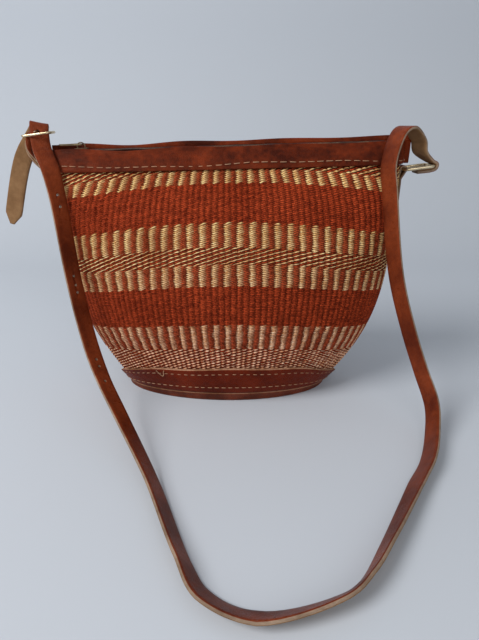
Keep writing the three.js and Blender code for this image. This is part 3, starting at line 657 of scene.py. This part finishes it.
# Mouth trims: a band of red-brown leather along the front and the back of the mouth, sewn over the
# basket's rim with one row of pale running stitches. The top edge waves a little from handling.
TRIM_HEIGHT = 0.020
TRIM_LIP = 0.0045
TRIM_END_ANGLE = 0.5 / 18
TRIM_STATIONS = 300
TRIM_MIDDLE = 0.215
TRIM_BELLY = 0.0005
TRIM_SWAY, TRIM_SWAYS = 0.0007, 52
TRIM_STITCH_HEIGHT = 0.2105
TRIM_STITCH_PITCH = 0.0075
TRIM_STITCH_LENGTH = 0.0050
TRIM_STITCH_SEAT = 0.0004
TRIM_WAVES = [(0.0013, 70, 4.24), (0.000455, 38, 1.3)]
TRIM_SEAM_WAVES = [(0.0009, 33, 0), (0.0005, 80, 0)]
FRONT_SAG = 0.0024
RIGHT_FIN, LEFT_FIN = 0.005, 0.0015
BACK_RISE = 0.0012
TRIM_LEATHER = (0.190, 0.026, 0.006, 1)
TRIM_LEATHER_DARK = (0.040, 0.005, 0.002, 1)


def trim_angles(side, count):
    """Angles along one half of the mouth, the same distance apart on the leather."""
    fine = np.linspace(TRIM_END_ANGLE, math.pi - TRIM_END_ANGLE, 4000)
    travelled = distance_along(basket_point(fine, TRIM_MIDDLE, LEATHER_PROUD))
    return side * np.interp(np.linspace(0, travelled[-1], count), travelled, fine)


def handling_wave(x):
    """How far the trims' upper edges rise and dip along the mouth, most at the left."""
    fading = np.clip(0.5 - x / (2 * MOUTH_HALF), 0.3, 1)
    return fading * wavy(TRIM_WAVES, x)


def mouth_trim(name, side):
    low = RIM_HEIGHT - TRIM_HEIGHT + TRIM_LIP
    high = RIM_HEIGHT + TRIM_LIP + (BACK_RISE if side > 0 else -FRONT_SAG)
    wide = high - low
    inner, outer = SEAM_GAP, LEATHER_PROUD
    profile = [(low + EDGE_ROUND, inner), (low, inner + EDGE_ROUND), (low, outer - EDGE_ROUND)]
    for share in np.linspace(0, 1, 12):
        proud = outer + TRIM_BELLY * math.sin(math.pi * share)
        profile.append((low + EDGE_ROUND + (wide - 2 * EDGE_ROUND) * share, proud))
    profile += [(high, outer - EDGE_ROUND), (high, inner + EDGE_ROUND), (high - EDGE_ROUND, inner)]
    profile += [(high - wide * share, inner) for share in (0.25, 0.5, 0.75)]
    angles = trim_angles(side, TRIM_STATIONS)
    rings = []
    for z, proud in profile:
        points = basket_point(angles, z, proud)
        upper = np.clip((z - low) / wide, 0, 1)
        points[:, 2] += handling_wave(points[:, 0]) * upper
        points[:, 1] += side * TRIM_SWAY * np.sin(points[:, 0] * TRIM_SWAYS) * upper * np.abs(np.sin(angles))
        rings.append(points)
    band = np.stack(rings, axis=1)
    layer = np.array([side * (SEAM_GAP + proud - inner) for _, proud in profile])
    fins = []
    reaches = band[0, :, 0].max() + RIGHT_FIN, band[-1, :, 0].min() - LEFT_FIN
    for end, reach in zip((band[0], band[-1]), reaches):
        tip = np.stack([np.full(len(profile), reach), layer, end[:, 2]], axis=-1)
        fins.append([end + (tip - end) * share for share in (0.3, 0.55, 0.8, 1.0)])
    band = np.concatenate([fins[0][::-1], band, fins[1]])
    order = slice(None) if side > 0 else slice(None, None, -1)
    trim = grid_mesh(name, band[order], capped=True)
    trim.data.materials.append(trim_leather)
    return trim


trim_leather = leather("mouth_trim_leather", TRIM_LEATHER, TRIM_LEATHER_DARK, shine=0.40, sheen=0.15)
for name, side, node in (("front_mouth_trim", -1, "front_trim"), ("back_mouth_trim", 1, "back_trim")):
    trim = mouth_trim(name, side)
    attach(trim, "bag")
    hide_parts(node)
    sewn = trim_angles(side, 700)
    places = basket_point(sewn, TRIM_STITCH_HEIGHT, LEATHER_PROUD + TRIM_STITCH_SEAT)
    places[:, 2] += wavy(TRIM_SEAM_WAVES, places[:, 0])
    running_stitches(name + "_stitches", places,
                     outward_from_basket(sewn, TRIM_STITCH_HEIGHT, LEATHER_PROUD),
                     TRIM_STITCH_PITCH, TRIM_STITCH_LENGTH, WAXED)


# Zip: two dark cloth tapes sewn inside the trims, each with a row of metal teeth pressed on its edge,
# stops at both ends, and a slider whose pull hangs on a wire bail.
ZIP_HALF_LENGTH = 0.1335
TAPE_INNER = 0.0039
TAPE_THICKNESS = 0.0008
TAPE_HEIGHT = 0.00075
TAPE_RISE = 0.0009
TAPE_WAVE, TAPE_WAVES = 0.00015, 210
MOUTH_POWER = 2 + MOUTH_SQUARENESS
ZIP_CLOTH = (0.022, 0.010, 0.008, 1)
ZIP_CLOTH_PALE = (0.060, 0.026, 0.018, 1)
ANTIQUE_METAL = (0.16, 0.115, 0.07, 1)
ANTIQUE_METAL_WORN = (0.50, 0.38, 0.22, 1)


def zip_place(x, y, z):
    """A point on the zip, which lies along the tilted mouth, in the bag's frame."""
    along = x * math.cos(MOUTH_TILT) - z * math.sin(MOUTH_TILT)
    up = x * math.sin(MOUTH_TILT) + z * math.cos(MOUTH_TILT)
    return np.stack(np.broadcast_arrays(along, y, up + RIM_HEIGHT), axis=-1)


def zip_tape(name, side):
    x = np.linspace(-ZIP_HALF_LENGTH, ZIP_HALF_LENGTH, 240)
    inside_trim = (1 - (np.abs(x) / (MOUTH_HALF + SEAM_GAP)) ** MOUTH_POWER) ** (1 / MOUTH_POWER)
    outer = (MOUTH_HALF_DEPTH + SEAM_GAP) * inside_trim
    rings = []
    over, painted_rib_shade = [(share, 0.5) for share in (0, 0.3, 0.65, 1)], [(share, -0.5) for share in (1, 0.65, 0.3)]
    for share, top in [(0, -0.5), *over, *painted_rib_shade]:
        y = TAPE_INNER + (outer - TAPE_INNER) * share
        z = TAPE_HEIGHT + TAPE_THICKNESS * top + TAPE_RISE * share**2
        rings.append(zip_place(x, side * y, z + TAPE_WAVE * np.sin(x * TAPE_WAVES) * share))
    order = slice(None) if side < 0 else slice(None, None, -1)
    return grid_mesh(name, np.stack(rings, axis=1)[order], capped=True)


def tape_cloth():
    material, tree, shader = new_material("zip_tape_cloth", Roughness=0.9)
    place = body_place(tree)
    ribs = add_node(tree, "TexWave", {"Vector": place, "Scale": 420.0, "Distortion": 1.5},
                    wave_type="BANDS", bands_direction="DIAGONAL").outputs[1]
    dust = noise(place, 300.0, 4.0)
    shade = times(ribs, dust)
    wired(shader, Base_Color=mixed(shade, ZIP_CLOTH, ZIP_CLOTH_PALE))
    bumped(shader, ribs, 0.0002)
    return material


def metal_group():
    """Handled metal: rubbed patches and fine scratches, as colour, roughness and height."""
    group, given, put = new_effect("handled_metal", {"Metal": TONE, "Rubbed": TONE, "Roughness": VALUE},
                                   {"Colour": TONE, "Roughness": VALUE, "Height": VALUE})
    place = body_place(group)
    rubbed = noise(place, 190.0, 4.0)
    scratches = noise(place, 1400.0, 2.0)
    colour = mixed(spread(rubbed, 0.35, 0.72), given["Metal"], given["Rubbed"])
    rough = plus(given["Roughness"], spread(scratches, 0.25, 0.75, -0.1, 0.14))
    wired(put, Colour=colour, Roughness=rough, Height=scratches)
    return group


HANDLED_METAL = metal_group()


def worn_metal(name, colour, worn, rough):
    material, tree, shader = new_material(name, Metallic=1.0)
    sockets = {"Metal": colour, "Rubbed": worn, "Roughness": rough}
    handled = add_node(tree, "Group", sockets, node_tree=HANDLED_METAL).outputs
    wired(shader, Base_Color=handled["Colour"], Roughness=handled["Roughness"])
    bumped(shader, handled["Height"], 0.00006)
    return material


cloth = tape_cloth()
for name, side, node in (("front_zip_tape", -1, "zip_tape_front"), ("back_zip_tape", 1, "zip_tape_back")):
    tape = zip_tape(name, side)
    tape.data.materials.append(cloth)
    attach(tape, "bag")
    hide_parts(node)
antique = worn_metal("zip_antique_metal", ANTIQUE_METAL, ANTIQUE_METAL_WORN, 0.36)
for node in ("zip_teeth_front", "zip_teeth_back", "zip_top_stop_front", "zip_top_stop_back",
             "zip_bottom_stop", "zip_slider", "zip_pull"):
    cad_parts[node].data.materials.clear()
    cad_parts[node].data.materials.append(antique)


# Left end: a doubled leather tab sewn on the bag's end, which wraps the bar of a brass wire buckle.
# The prong turns on the same bar, in a slot of the wrap, and goes through a hole in the strap.
BUCKLE_BAR = (-0.158, 0.003, 0.233)
BUCKLE_WIRE, BUCKLE_WIDTH, BUCKLE_REACH, BUCKLE_CORNER = 0.0020, 0.026, 0.013, 0.003
BUCKLE_LEAN = math.radians(7)
TAB_WIDTH = 0.012
TAB_LAYER = 0.0018
TAB_FOOT = 0.0260
TAB_TOP = RIM_HEIGHT - 0.022
TAB_BULGE = 0.0115
TAB_ASIDE = 0.005
TAB_OPENING = 0.012
TAB_BEND = 0.0011
TAB_SEAM_IN = 0.0022
TAB_STITCH_PITCH = 0.0036
TAB_STITCH_LENGTH = 0.0025
RUNNING_GAP = 0.0003
WALL_END = MOUTH_HALF + RUNNING_GAP
WEAVE_GIVE = 0.0008
PRONG_WIRE = 0.0017
PRONG_SLOT, PRONG_SLOT_RISE = 0.004, 0.0006
STRAP_LEATHER = (0.230, 0.042, 0.012, 1)
STRAP_LEATHER_DARK = (0.090, 0.014, 0.005, 1)
STRAP_EDGE = (0.46, 0.325, 0.23, 1)
STRAP_EDGE_DARK = (0.22, 0.145, 0.095, 1)
FLESH = (0.38, 0.215, 0.102, 1)
FLESH_DARK = (0.22, 0.115, 0.05, 1)
BRASS = (0.56, 0.42, 0.24, 1)
BRASS_WORN = (0.84, 0.72, 0.50, 1)
grain_side = leather("strap_grain_side", STRAP_LEATHER, STRAP_LEATHER_DARK,
                     shine=0.36, grain=800.0, sheen=0.14)
strap_edge = raw_edge("strap_raw_edge", STRAP_EDGE, STRAP_EDGE_DARK)
flesh_side = leather("strap_flesh_side", FLESH, FLESH_DARK, shine=0.8, grain=1400.0, relief=0.0004)
brass = worn_metal("worn_brass", BRASS, BRASS_WORN, 0.30)


def smooth_route(stops, steps):
    """A smooth curve through the stops, and the share of stops passed at each of its points."""
    stops = np.asarray(stops, float)
    padded = np.vstack([2 * stops[0] - stops[1], stops, 2 * stops[-1] - stops[-2]])
    points, shares = [], []
    for i in range(len(stops) - 1):
        p0, p1, p2, p3 = padded[i : i + 4]
        d0, d1, d2 = (max(np.linalg.norm(step) ** 0.5, 1e-4) for step in (p1 - p0, p2 - p1, p3 - p2))
        t1 = ((p1 - p0) / d0 - (p2 - p0) / (d0 + d1) + (p2 - p1) / d1) * d1
        t2 = ((p2 - p1) / d1 - (p3 - p1) / (d1 + d2) + (p3 - p2) / d2) * d1
        t = np.arange(steps + (i == len(stops) - 2))[:, None] / steps
        square, cube = 3 * (p2 - p1) - 2 * t1 - t2, 2 * (p1 - p2) + t1 + t2
        points.append(p1 + t1 * t + square * t**2 + cube * t**3)
        shares.append(i + t[:, 0])
    return np.concatenate(points), np.concatenate(shares)


def strip_section(width, thickness, corner=0.0005):
    """The outline of a leather strip's section from its grain side round, and where each side starts."""
    half, thick = width / 2, thickness / 2
    flats = np.linspace(-1, 1, 7)
    grain = [(u * (half - corner), thick) for u in flats]
    right = [(half, v * (thick - corner)) for v in (1, 0, -1)]
    flesh = [(-u * (half - corner), -thick) for u in flats]
    left = [(-half, v * (thick - corner)) for v in (-1, 0, 1)]
    ends = len(grain) - 1, len(grain + right), len(grain + right + flesh) - 1
    return np.array(grain + right + flesh + left), ends


def leather_strip(name, centres, widths, width, thickness, taper=None):
    """A flat strip along centres, its width along widths, with grain side, cut edges and flesh side."""
    along = unit(np.gradient(centres, axis=0))
    across = unit(widths - along * np.sum(widths * along, axis=1, keepdims=True))
    normal = np.cross(across, along)
    outline, (grain_end, right_end, flesh_end) = strip_section(width, thickness)
    narrowed = np.ones(len(centres)) if taper is None else taper
    points = (centres[:, None]
              + across[:, None] * (outline[None, :, :1] * narrowed[:, None, None])
              + normal[:, None] * outline[None, :, 1:])
    strip = grid_mesh(name, points[:, ::-1], capped=True)
    for material in (grain_side, strap_edge, flesh_side):
        strip.data.materials.append(material)
    sides = len(outline)
    for face in strip.data.polygons:
        place = (sides - 2 - face.index) % sides
        on_edge = grain_end < place < right_end - 1 or flesh_end < place < sides - 1
        if on_edge or len(face.vertices) > 4:
            face.material_index = 1
        elif right_end - 1 <= place <= flesh_end:
            face.material_index = 2
    return strip


def cut_away(piece, cutter):
    """Takes the cutter's volume out of a piece and deletes the cutter."""
    bpy.context.view_layer.update()
    cut = piece.modifiers.new("cut", "BOOLEAN")
    cut.object = cutter
    cut.solver = "EXACT"
    shown = piece.evaluated_get(bpy.context.evaluated_depsgraph_get())
    mesh = bpy.data.meshes.new_from_object(shown)
    piece.modifiers.clear()
    piece.data = mesh
    bpy.data.objects.remove(cutter)


def round_wire(name, centres, radius, closed=False, sides=14):
    """A round wire along centres, with radius one number or one for each point."""
    centres = np.asarray(centres, float)
    radius = np.broadcast_to(radius, len(centres))
    if closed:
        along = np.roll(centres, -1, axis=0) - np.roll(centres, 1, axis=0)
    else:
        along = np.gradient(centres, axis=0)
    flat = np.linalg.svd(centres - centres.mean(0))[2][2]
    across = unit(np.cross(unit(along), flat))
    turns = np.linspace(0, 2 * math.pi, sides, endpoint=False)
    rings = centres[:, None] + radius[:, None, None] * (
        np.cos(turns)[None, :, None] * across[:, None] + np.sin(turns)[None, :, None] * flat)
    if closed:
        rings = np.concatenate([rings, rings[:1]])
    wire = grid_mesh(name, rings, capped=not closed)
    mesh = bmesh.new()
    mesh.from_mesh(wire.data)
    bmesh.ops.remove_doubles(mesh, verts=mesh.verts, dist=1e-7)
    bmesh.ops.recalc_face_normals(mesh, faces=mesh.faces)
    mesh.to_mesh(wire.data)
    mesh.free()
    wire.data.materials.append(brass)
    return wire


def rounded_loop(width, reach, corner, bend=8):
    """A flat rounded rectangle in the XY plane, from its pivot bar on the Y axis out along +X."""
    half = width / 2
    corners = [(corner, -half + corner, 180), (reach - corner, -half + corner, 270),
               (reach - corner, half - corner, 0), (corner, half - corner, 90)]
    points = []
    for x, y, start in corners:
        for turn in np.radians(np.linspace(start, start + 90, bend)):
            points.append((x + corner * math.cos(turn), y + corner * math.sin(turn), 0))
    return np.array(points)


def on_bar(points):
    """Sets points made along X on the buckle's bar, which leans a little: its right end is higher."""
    lean = np.array([[math.cos(BUCKLE_LEAN), 0, math.sin(BUCKLE_LEAN)], [0, 1, 0],
                     [-math.sin(BUCKLE_LEAN), 0, math.cos(BUCKLE_LEAN)]])
    return np.asarray(points, float) @ lean + np.array(BUCKLE_BAR)


def left_tab():
    bar = np.array(BUCKLE_BAR)
    wrapped = on_bar((-TAB_ASIDE, 0, 0))
    sewn = WEAVE_GIVE - WALL_END - TAB_LAYER
    stops = [(sewn, 0, TAB_TOP - TAB_FOOT), (sewn, 0, TAB_TOP - TAB_FOOT / 2), (sewn - TAB_BEND, 0, TAB_TOP),
             (sewn - TAB_BULGE, bar[1] * 0.3, TAB_TOP + TAB_BULGE * 0.5),
             (wrapped[0] - TAB_BULGE * 0.35, bar[1] * 0.8, TAB_TOP + TAB_BULGE * 1.4),
             wrapped - np.array((TAB_BULGE * 0.3, 0, BUCKLE_REACH * 0.55)), wrapped]
    centre, passed = smooth_route(stops, 9)
    share = np.clip((passed / passed[-1] - 0.6) / 0.38, 0, 1)
    twist = share**2 * (3 - 2 * share) * math.pi / 2
    leaning = share * BUCKLE_LEAN
    aside = np.sin(twist)
    width = np.stack([aside * np.cos(leaning), np.cos(twist), aside * np.sin(leaning)], axis=-1)
    normal = unit(np.cross(width, np.gradient(centre, axis=0)))
    apart = np.full(len(centre), TAB_LAYER / 2 + 0.0001)
    wrap = BUCKLE_WIRE / 2 + RUNNING_GAP + TAB_LAYER / 2
    near_bar = np.clip(1 - (wrapped[2] - centre[:, 2]) / TAB_OPENING, 0, 1)
    apart += (wrap - apart) * near_bar**2 * (3 - 2 * near_bar)
    front = centre + normal * apart[:, None]
    back = (centre - normal * apart[:, None])[::-1]
    turns = np.linspace(0, math.pi, 12)[1:-1]
    over = on_bar(np.stack([0 * turns - TAB_ASIDE, -wrap * np.cos(turns), wrap * np.sin(turns)], axis=-1))
    centres = np.concatenate([front, over, back])
    widths = np.concatenate([width, np.tile(width[-1], (len(over), 1)), width[::-1]])
    tab = leather_strip("left_strap_tab", centres, widths, TAB_WIDTH, TAB_LAYER)
    bpy.ops.mesh.primitive_cube_add(size=1, location=(bar[0], bar[1], bar[2] + PRONG_SLOT_RISE))
    slot = bpy.context.object
    slot.scale = (PRONG_SLOT, 4 * wrap, 2.6 * wrap)
    slot.rotation_euler = (0, -BUCKLE_LEAN, 0)
    cut_away(tab, slot)
    return tab


def tab_seam(name, x, foot, top):
    """Running stitches down one side of a tab's sewn part, across its foot and up the other side."""
    half = TAB_WIDTH / 2 - TAB_SEAM_IN
    corners = np.array([(x, -half, top), (x, -half, foot), (x, half, foot), (x, half, top)])
    places = np.concatenate([np.linspace(a, b, 20) for a, b in zip(corners, corners[1:])])
    running_stitches(name, places, np.tile((math.copysign(1, x), 0, 0), (len(places), 1)),
                     TAB_STITCH_PITCH, TAB_STITCH_LENGTH, WAXED, THREAD * 0.8)


tab = left_tab()
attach(tab, "bag")
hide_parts("left_tab")
tab_seam("left_tab_stitches", WEAVE_GIVE - WALL_END - 2 * TAB_LAYER,
         TAB_TOP - TAB_FOOT + TAB_SEAM_IN, TAB_TOP - 3 * TAB_SEAM_IN)

loop = rounded_loop(BUCKLE_WIDTH - BUCKLE_WIRE, BUCKLE_REACH, BUCKLE_CORNER)
buckle = round_wire("brass_buckle", on_bar(loop[:, [1, 0, 2]] * np.array([1, -1, 1])), BUCKLE_WIRE / 2, True)
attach(buckle, "bag")
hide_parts("buckle_frame")


def buckle_prong():
    eye = BUCKLE_WIRE / 2 + RUNNING_GAP + PRONG_WIRE * 0.35
    rest = BUCKLE_WIRE / 2 + PRONG_WIRE / 2 + RUNNING_GAP
    turns = np.radians(np.linspace(165, 1.2, 14))
    curl = [(0, -eye * math.cos(t), eye * math.sin(t)) for t in turns]
    point = smooth_route([(0, -BUCKLE_REACH * 0.35, rest * 0.2), (0, -BUCKLE_REACH * 0.6, rest * 0.6),
                          (0, -BUCKLE_REACH * 0.85, rest), (0, -BUCKLE_REACH - PRONG_WIRE * 0.7, rest)], 6)[0]
    centres = on_bar(np.array(curl + list(point)))
    radius = PRONG_WIRE * np.concatenate([np.full(len(curl), 0.35), np.linspace(0.38, 0.34, len(point))])
    radius[-1] *= 0.5
    return round_wire("brass_prong", centres, radius)


prong = buckle_prong()
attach(prong, "buckle_prong")
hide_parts("buckle_prong")


# Right end: a tab folded over the bar of a brass wire ring, both its ends sewn on the bag.
# The ring swings in the fold and carries the strap's end.
RING_WIRE, RING_WIDTH, RING_REACH, RING_CORNER = 0.0026, 0.023, 0.025, 0.004
RING_LIFT = math.radians(7)
RING_HEIGHT = 0.205
RING_TAB_LAYER = 0.0019
RING_BAR_X = WALL_END + RING_TAB_LAYER + RUNNING_GAP + RING_WIRE / 2
RING_TAB_SEAT = WALL_END - WEAVE_GIVE + 2 * RING_TAB_LAYER


def right_tab():
    wrap = RING_WIRE / 2 + RUNNING_GAP + RING_TAB_LAYER / 2
    foot, neck = RING_HEIGHT - TAB_FOOT, RING_HEIGHT - 3 * wrap
    inner, outer = RING_TAB_SEAT - RING_TAB_LAYER * 1.5, RING_TAB_SEAT - RING_TAB_LAYER / 2
    profile = [(inner, foot + (neck - foot) * share) for share in np.linspace(0, 1, 7)]
    profile += [(RING_BAR_X + wrap * math.cos(t), RING_HEIGHT + wrap * math.sin(t))
                for t in np.linspace(1.1, -0.15, 18) * math.pi]
    profile += [(outer, neck + (foot - neck) * share) for share in np.linspace(0, 1, 7)]
    centres = np.array([(x, 0, z) for x, z in profile])
    widths = np.tile((0.0, -1.0, 0.0), (len(centres), 1))
    return leather_strip("right_strap_tab", centres, widths, TAB_WIDTH, RING_TAB_LAYER)


tab = right_tab()
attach(tab, "bag")
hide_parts("right_tab")
tab_seam("right_tab_stitches", RING_TAB_SEAT,
         RING_HEIGHT - TAB_FOOT + TAB_SEAM_IN, RING_HEIGHT - 4 * TAB_SEAM_IN)

loop = rounded_loop(RING_WIDTH - RING_WIRE, RING_REACH, RING_CORNER)
lifted = np.stack([loop[:, 0] * math.cos(RING_LIFT), loop[:, 1], loop[:, 0] * math.sin(RING_LIFT)], axis=-1)
ring = round_wire("brass_ring", lifted + np.array([RING_BAR_X, 0, RING_HEIGHT]), RING_WIRE / 2, True)
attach(ring, "strap_ring")
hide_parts("strap_ring")


# Shoulder strap: one long strip of thick leather, grain side out, edges left raw. Its pointed tail
# hangs behind the buckle. It goes over the buckle's bar, down the front, round a loop on the floor,
# up again and over to the ring, where its end is folded through and sewn.
STRAP_WIDTH = 0.015
STRAP_THICKNESS = 0.0026
STRAP_POINT = 0.010
STRAP_TIP = 0.25
HOLE_RADIUS = 0.0011
HOLE_PLACES = [0.15, 0.157, 0.207, 0.214, 0.22, 0.274, 0.283, 0.293]
PRONG_HOLE_RADIUS = 0.0020
PRONG_HOLE_RISE = 0.0014
# Each stop: its place in millimetres, as in the part, and the direction across the strap's width
STRAP_ROUTE = [
    ((-204, 20, 154), (-1, 0, 0.35)),
    ((-201, 19.6, 163), (-1, 0, 0.35)),
    ((-182, 15, 212), (-1, 0, 0.45)),
    ((-164, 10, 234.5), (-1, 0, 0.3)),
    ((-160.6, 7.8, 238.8), (-1, -0.1, 0.25)),
    ((-158.8, 3, 240.7), (-1, -0.15, 0.2)),
    ((-157, -3.8, 233.5), (-0.95, -0.28, -0.12)),
    ((-154.4, -10, 222), (-0.84, -0.5, -0.22)),
    ((-145.4, -22, 206), (-0.72, -0.68, -0.1)),
    ((-139.2, -31.2, 184), (-0.6, -0.8, 0.05)),
    ((-129.6, -46, 115), (-0.52, -0.85, 0.05)),
    ((-119.5, -56, 64), (-0.55, -0.82, 0.15)),
    ((-106, -76.5, 43), (-0.57, -0.7, 0.4)),
    ((-86, -106, 26), (-0.56, -0.64, 0.5)),
    ((-53, -161, 8.4), (-0.56, -0.41, 0.72)),
    ((-24, -226.5, 6.8), (-0.52, -0.3, 0.8)),
    ((-10.4, -249, 5.9), (-0.5, -0.59, 0.64)),
    ((18.5, -261.5, 5.3), (-0.08, -0.81, 0.58)),
    ((66, -250.8, 7.4), (0.22, -0.54, 0.81)),
    ((81, -239.5, 7.8), (0.28, -0.29, 0.92)),
    ((100.7, -213, 7.2), (0.42, -0.28, 0.86)),
    ((136, -160.5, 6), (0.59, -0.42, 0.69)),
    ((151.5, -138.5, 7.4), (0.57, -0.38, 0.73)),
    ((166, -107, 10), (0.52, -0.43, 0.74)),
    ((171.5, -85.5, 22.5), (0.45, -0.55, 0.7)),
    ((164.5, -68, 46.5), (0.45, -0.7, 0.55)),
    ((154.3, -55, 77.6), (0.51, -0.77, 0.38)),
    ((141, -45, 123.6), (0.53, -0.8, 0.27)),
    ((130.5, -35, 191.8), (0.53, -0.82, 0.2)),
    ((129, -29.5, 211), (0.55, -0.82, 0.15)),
    ((138, -19, 235), (0.6, -0.8, 0)),
    ((147, -13, 238.2), (0.6, -0.8, 0)),
    ((158.8, -5.5, 228), (0.6, -0.8, 0)),
    ((161.8, -3.5, 219.5), (0.55, -0.84, 0)),
    ((171.7, 0, 212), (0.15, -1, 0)),
    ((176.6, 0, 209.5), (0, -1, 0)),
    ((176, 0, 205.9), (0, -1, 0)),
    ((172.2, 0, 204.2), (0, -1, 0)),
    ((160.7, 0, 202.8), (0, -1, 0)),
]


def punch(punches, radius, depth, place):
    bmesh.ops.create_cone(punches, cap_ends=True, segments=16, radius1=radius, radius2=radius,
                          depth=depth, matrix=place)


def shoulder_strap():
    stops = np.array([place for place, _ in STRAP_ROUTE]) / 1000
    hints = unit(np.array([width for _, width in STRAP_ROUTE], float))
    centres, passed = smooth_route(stops, 9)
    widths = between(passed, np.arange(len(stops)), hints)
    from_tip = np.linalg.norm(centres - centres[0], axis=1)
    taper = np.minimum(1, STRAP_TIP + (1 - STRAP_TIP) * from_tip / STRAP_POINT)
    strap = leather_strip("shoulder_strap_leather", centres, widths, STRAP_WIDTH, STRAP_THICKNESS, taper)
    travelled = distance_along(centres)
    punches = bmesh.new()
    for share in HOLE_PLACES:
        i = int(np.searchsorted(travelled, share * travelled[-1]))
        along = centres[i + 1] - centres[i - 1]
        normal = Vector(np.cross(widths[i], along)).normalized()
        turned = normal.to_track_quat("Z", "Y").to_matrix().to_4x4()
        turned.translation = Vector(centres[i])
        punch(punches, HOLE_RADIUS, STRAP_THICKNESS * 3, turned)
    for_prong = Matrix.Translation(BUCKLE_BAR) @ Matrix.Rotation(-BUCKLE_LEAN, 4, "Y")
    for_prong @= Matrix.Translation((0, -BUCKLE_REACH / 2, PRONG_HOLE_RISE))
    for_prong @= Matrix.Rotation(math.pi / 2, 4, "X")
    punch(punches, PRONG_HOLE_RADIUS, BUCKLE_REACH - BUCKLE_WIRE, for_prong)
    mesh = bpy.data.meshes.new("strap_punches")
    punches.to_mesh(mesh)
    punches.free()
    mesh.materials.append(strap_edge)
    cutter = bpy.data.objects.new("strap_punches", mesh)
    bpy.context.scene.collection.objects.link(cutter)
    cut_away(strap, cutter)
    return strap, centres, travelled[-1]


strap, strap_centres, strap_length = shoulder_strap()
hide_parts("shoulder_strap")
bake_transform(strap)


# The stage: a sheet of pale paper that lies flat under the bag and curves up behind it, a large soft
# lamp at the upper left with a weaker one in front, and the camera.
CAMERA_PLACE = (0.0094, -0.432, 0.243)
CAMERA_PITCH = 22.5
FOCAL_PIXELS = 480
IMAGE_HEIGHT = 640
SENSOR_HEIGHT = 24
FLOOR_TONE = (0.53, 0.56, 0.605, 1)
FLOOR_REACH, FLOOR_FRONT, FLOOR_BEND, BEND_RADIUS, WALL_TOP = 9.0, 0.6, 0.40, 0.45, 2.6
AIR_TONE, AIR_STRENGTH = (0.92, 0.96, 1.0, 1), 0.42
LIT_PLACE = (0, 0, 0.1)


def studio_floor():
    x = np.linspace(-FLOOR_REACH, FLOOR_REACH, 9)
    profile = [(-FLOOR_REACH, 0.0), (-FLOOR_FRONT, 0.0), (0.0, 0.0), (FLOOR_BEND, 0.0)]
    profile += [(FLOOR_BEND + BEND_RADIUS * math.sin(t), BEND_RADIUS * (1 - math.cos(t)))
                for t in np.radians(np.linspace(6, 90, 15))]
    profile.append((FLOOR_BEND + BEND_RADIUS, WALL_TOP))
    rows = np.array([[(u, y, z) for u in x] for y, z in profile])
    floor = grid_mesh("studio_floor", rows, closed=False)
    floor.data.materials.append(new_material("studio_paper", Base_Color=FLOOR_TONE, Roughness=0.9)[0])


def placed(data, place, turn):
    holder = bpy.data.objects.new(data.name, data)
    holder.location, holder.rotation_euler = place, turn
    bpy.context.scene.collection.objects.link(holder)
    return holder


def soft_light(name, place, size, power):
    lamp = bpy.data.lights.new(name, "AREA")
    lamp.shape = "DISK"
    lamp.size = size
    lamp.energy = power
    turn = (Vector(LIT_PLACE) - Vector(place)).to_track_quat("-Z", "Y").to_euler()
    placed(lamp, place, turn).visible_camera = False


studio_floor()
soft_light("window_left", (-1.1, -0.8, 1.25), size=0.9, power=24)
soft_light("fill_front", (0.3, -1.6, 0.9), size=1.2, power=6.5)
scene = bpy.context.scene
scene.world = bpy.data.worlds.new("studio_air")
scene.world.use_nodes = True
air = scene.world.node_tree.nodes["Background"].inputs
air["Color"].default_value, air["Strength"].default_value = AIR_TONE, AIR_STRENGTH
camera = bpy.data.cameras.new("photo_camera")
camera.sensor_fit = "VERTICAL"
camera.sensor_height = SENSOR_HEIGHT
camera.lens = FOCAL_PIXELS / IMAGE_HEIGHT * SENSOR_HEIGHT
camera.clip_start = 0.01
scene.camera = placed(camera, CAMERA_PLACE, (math.radians(90 - CAMERA_PITCH), 0, 0))
scene.view_settings.view_transform = "Standard"
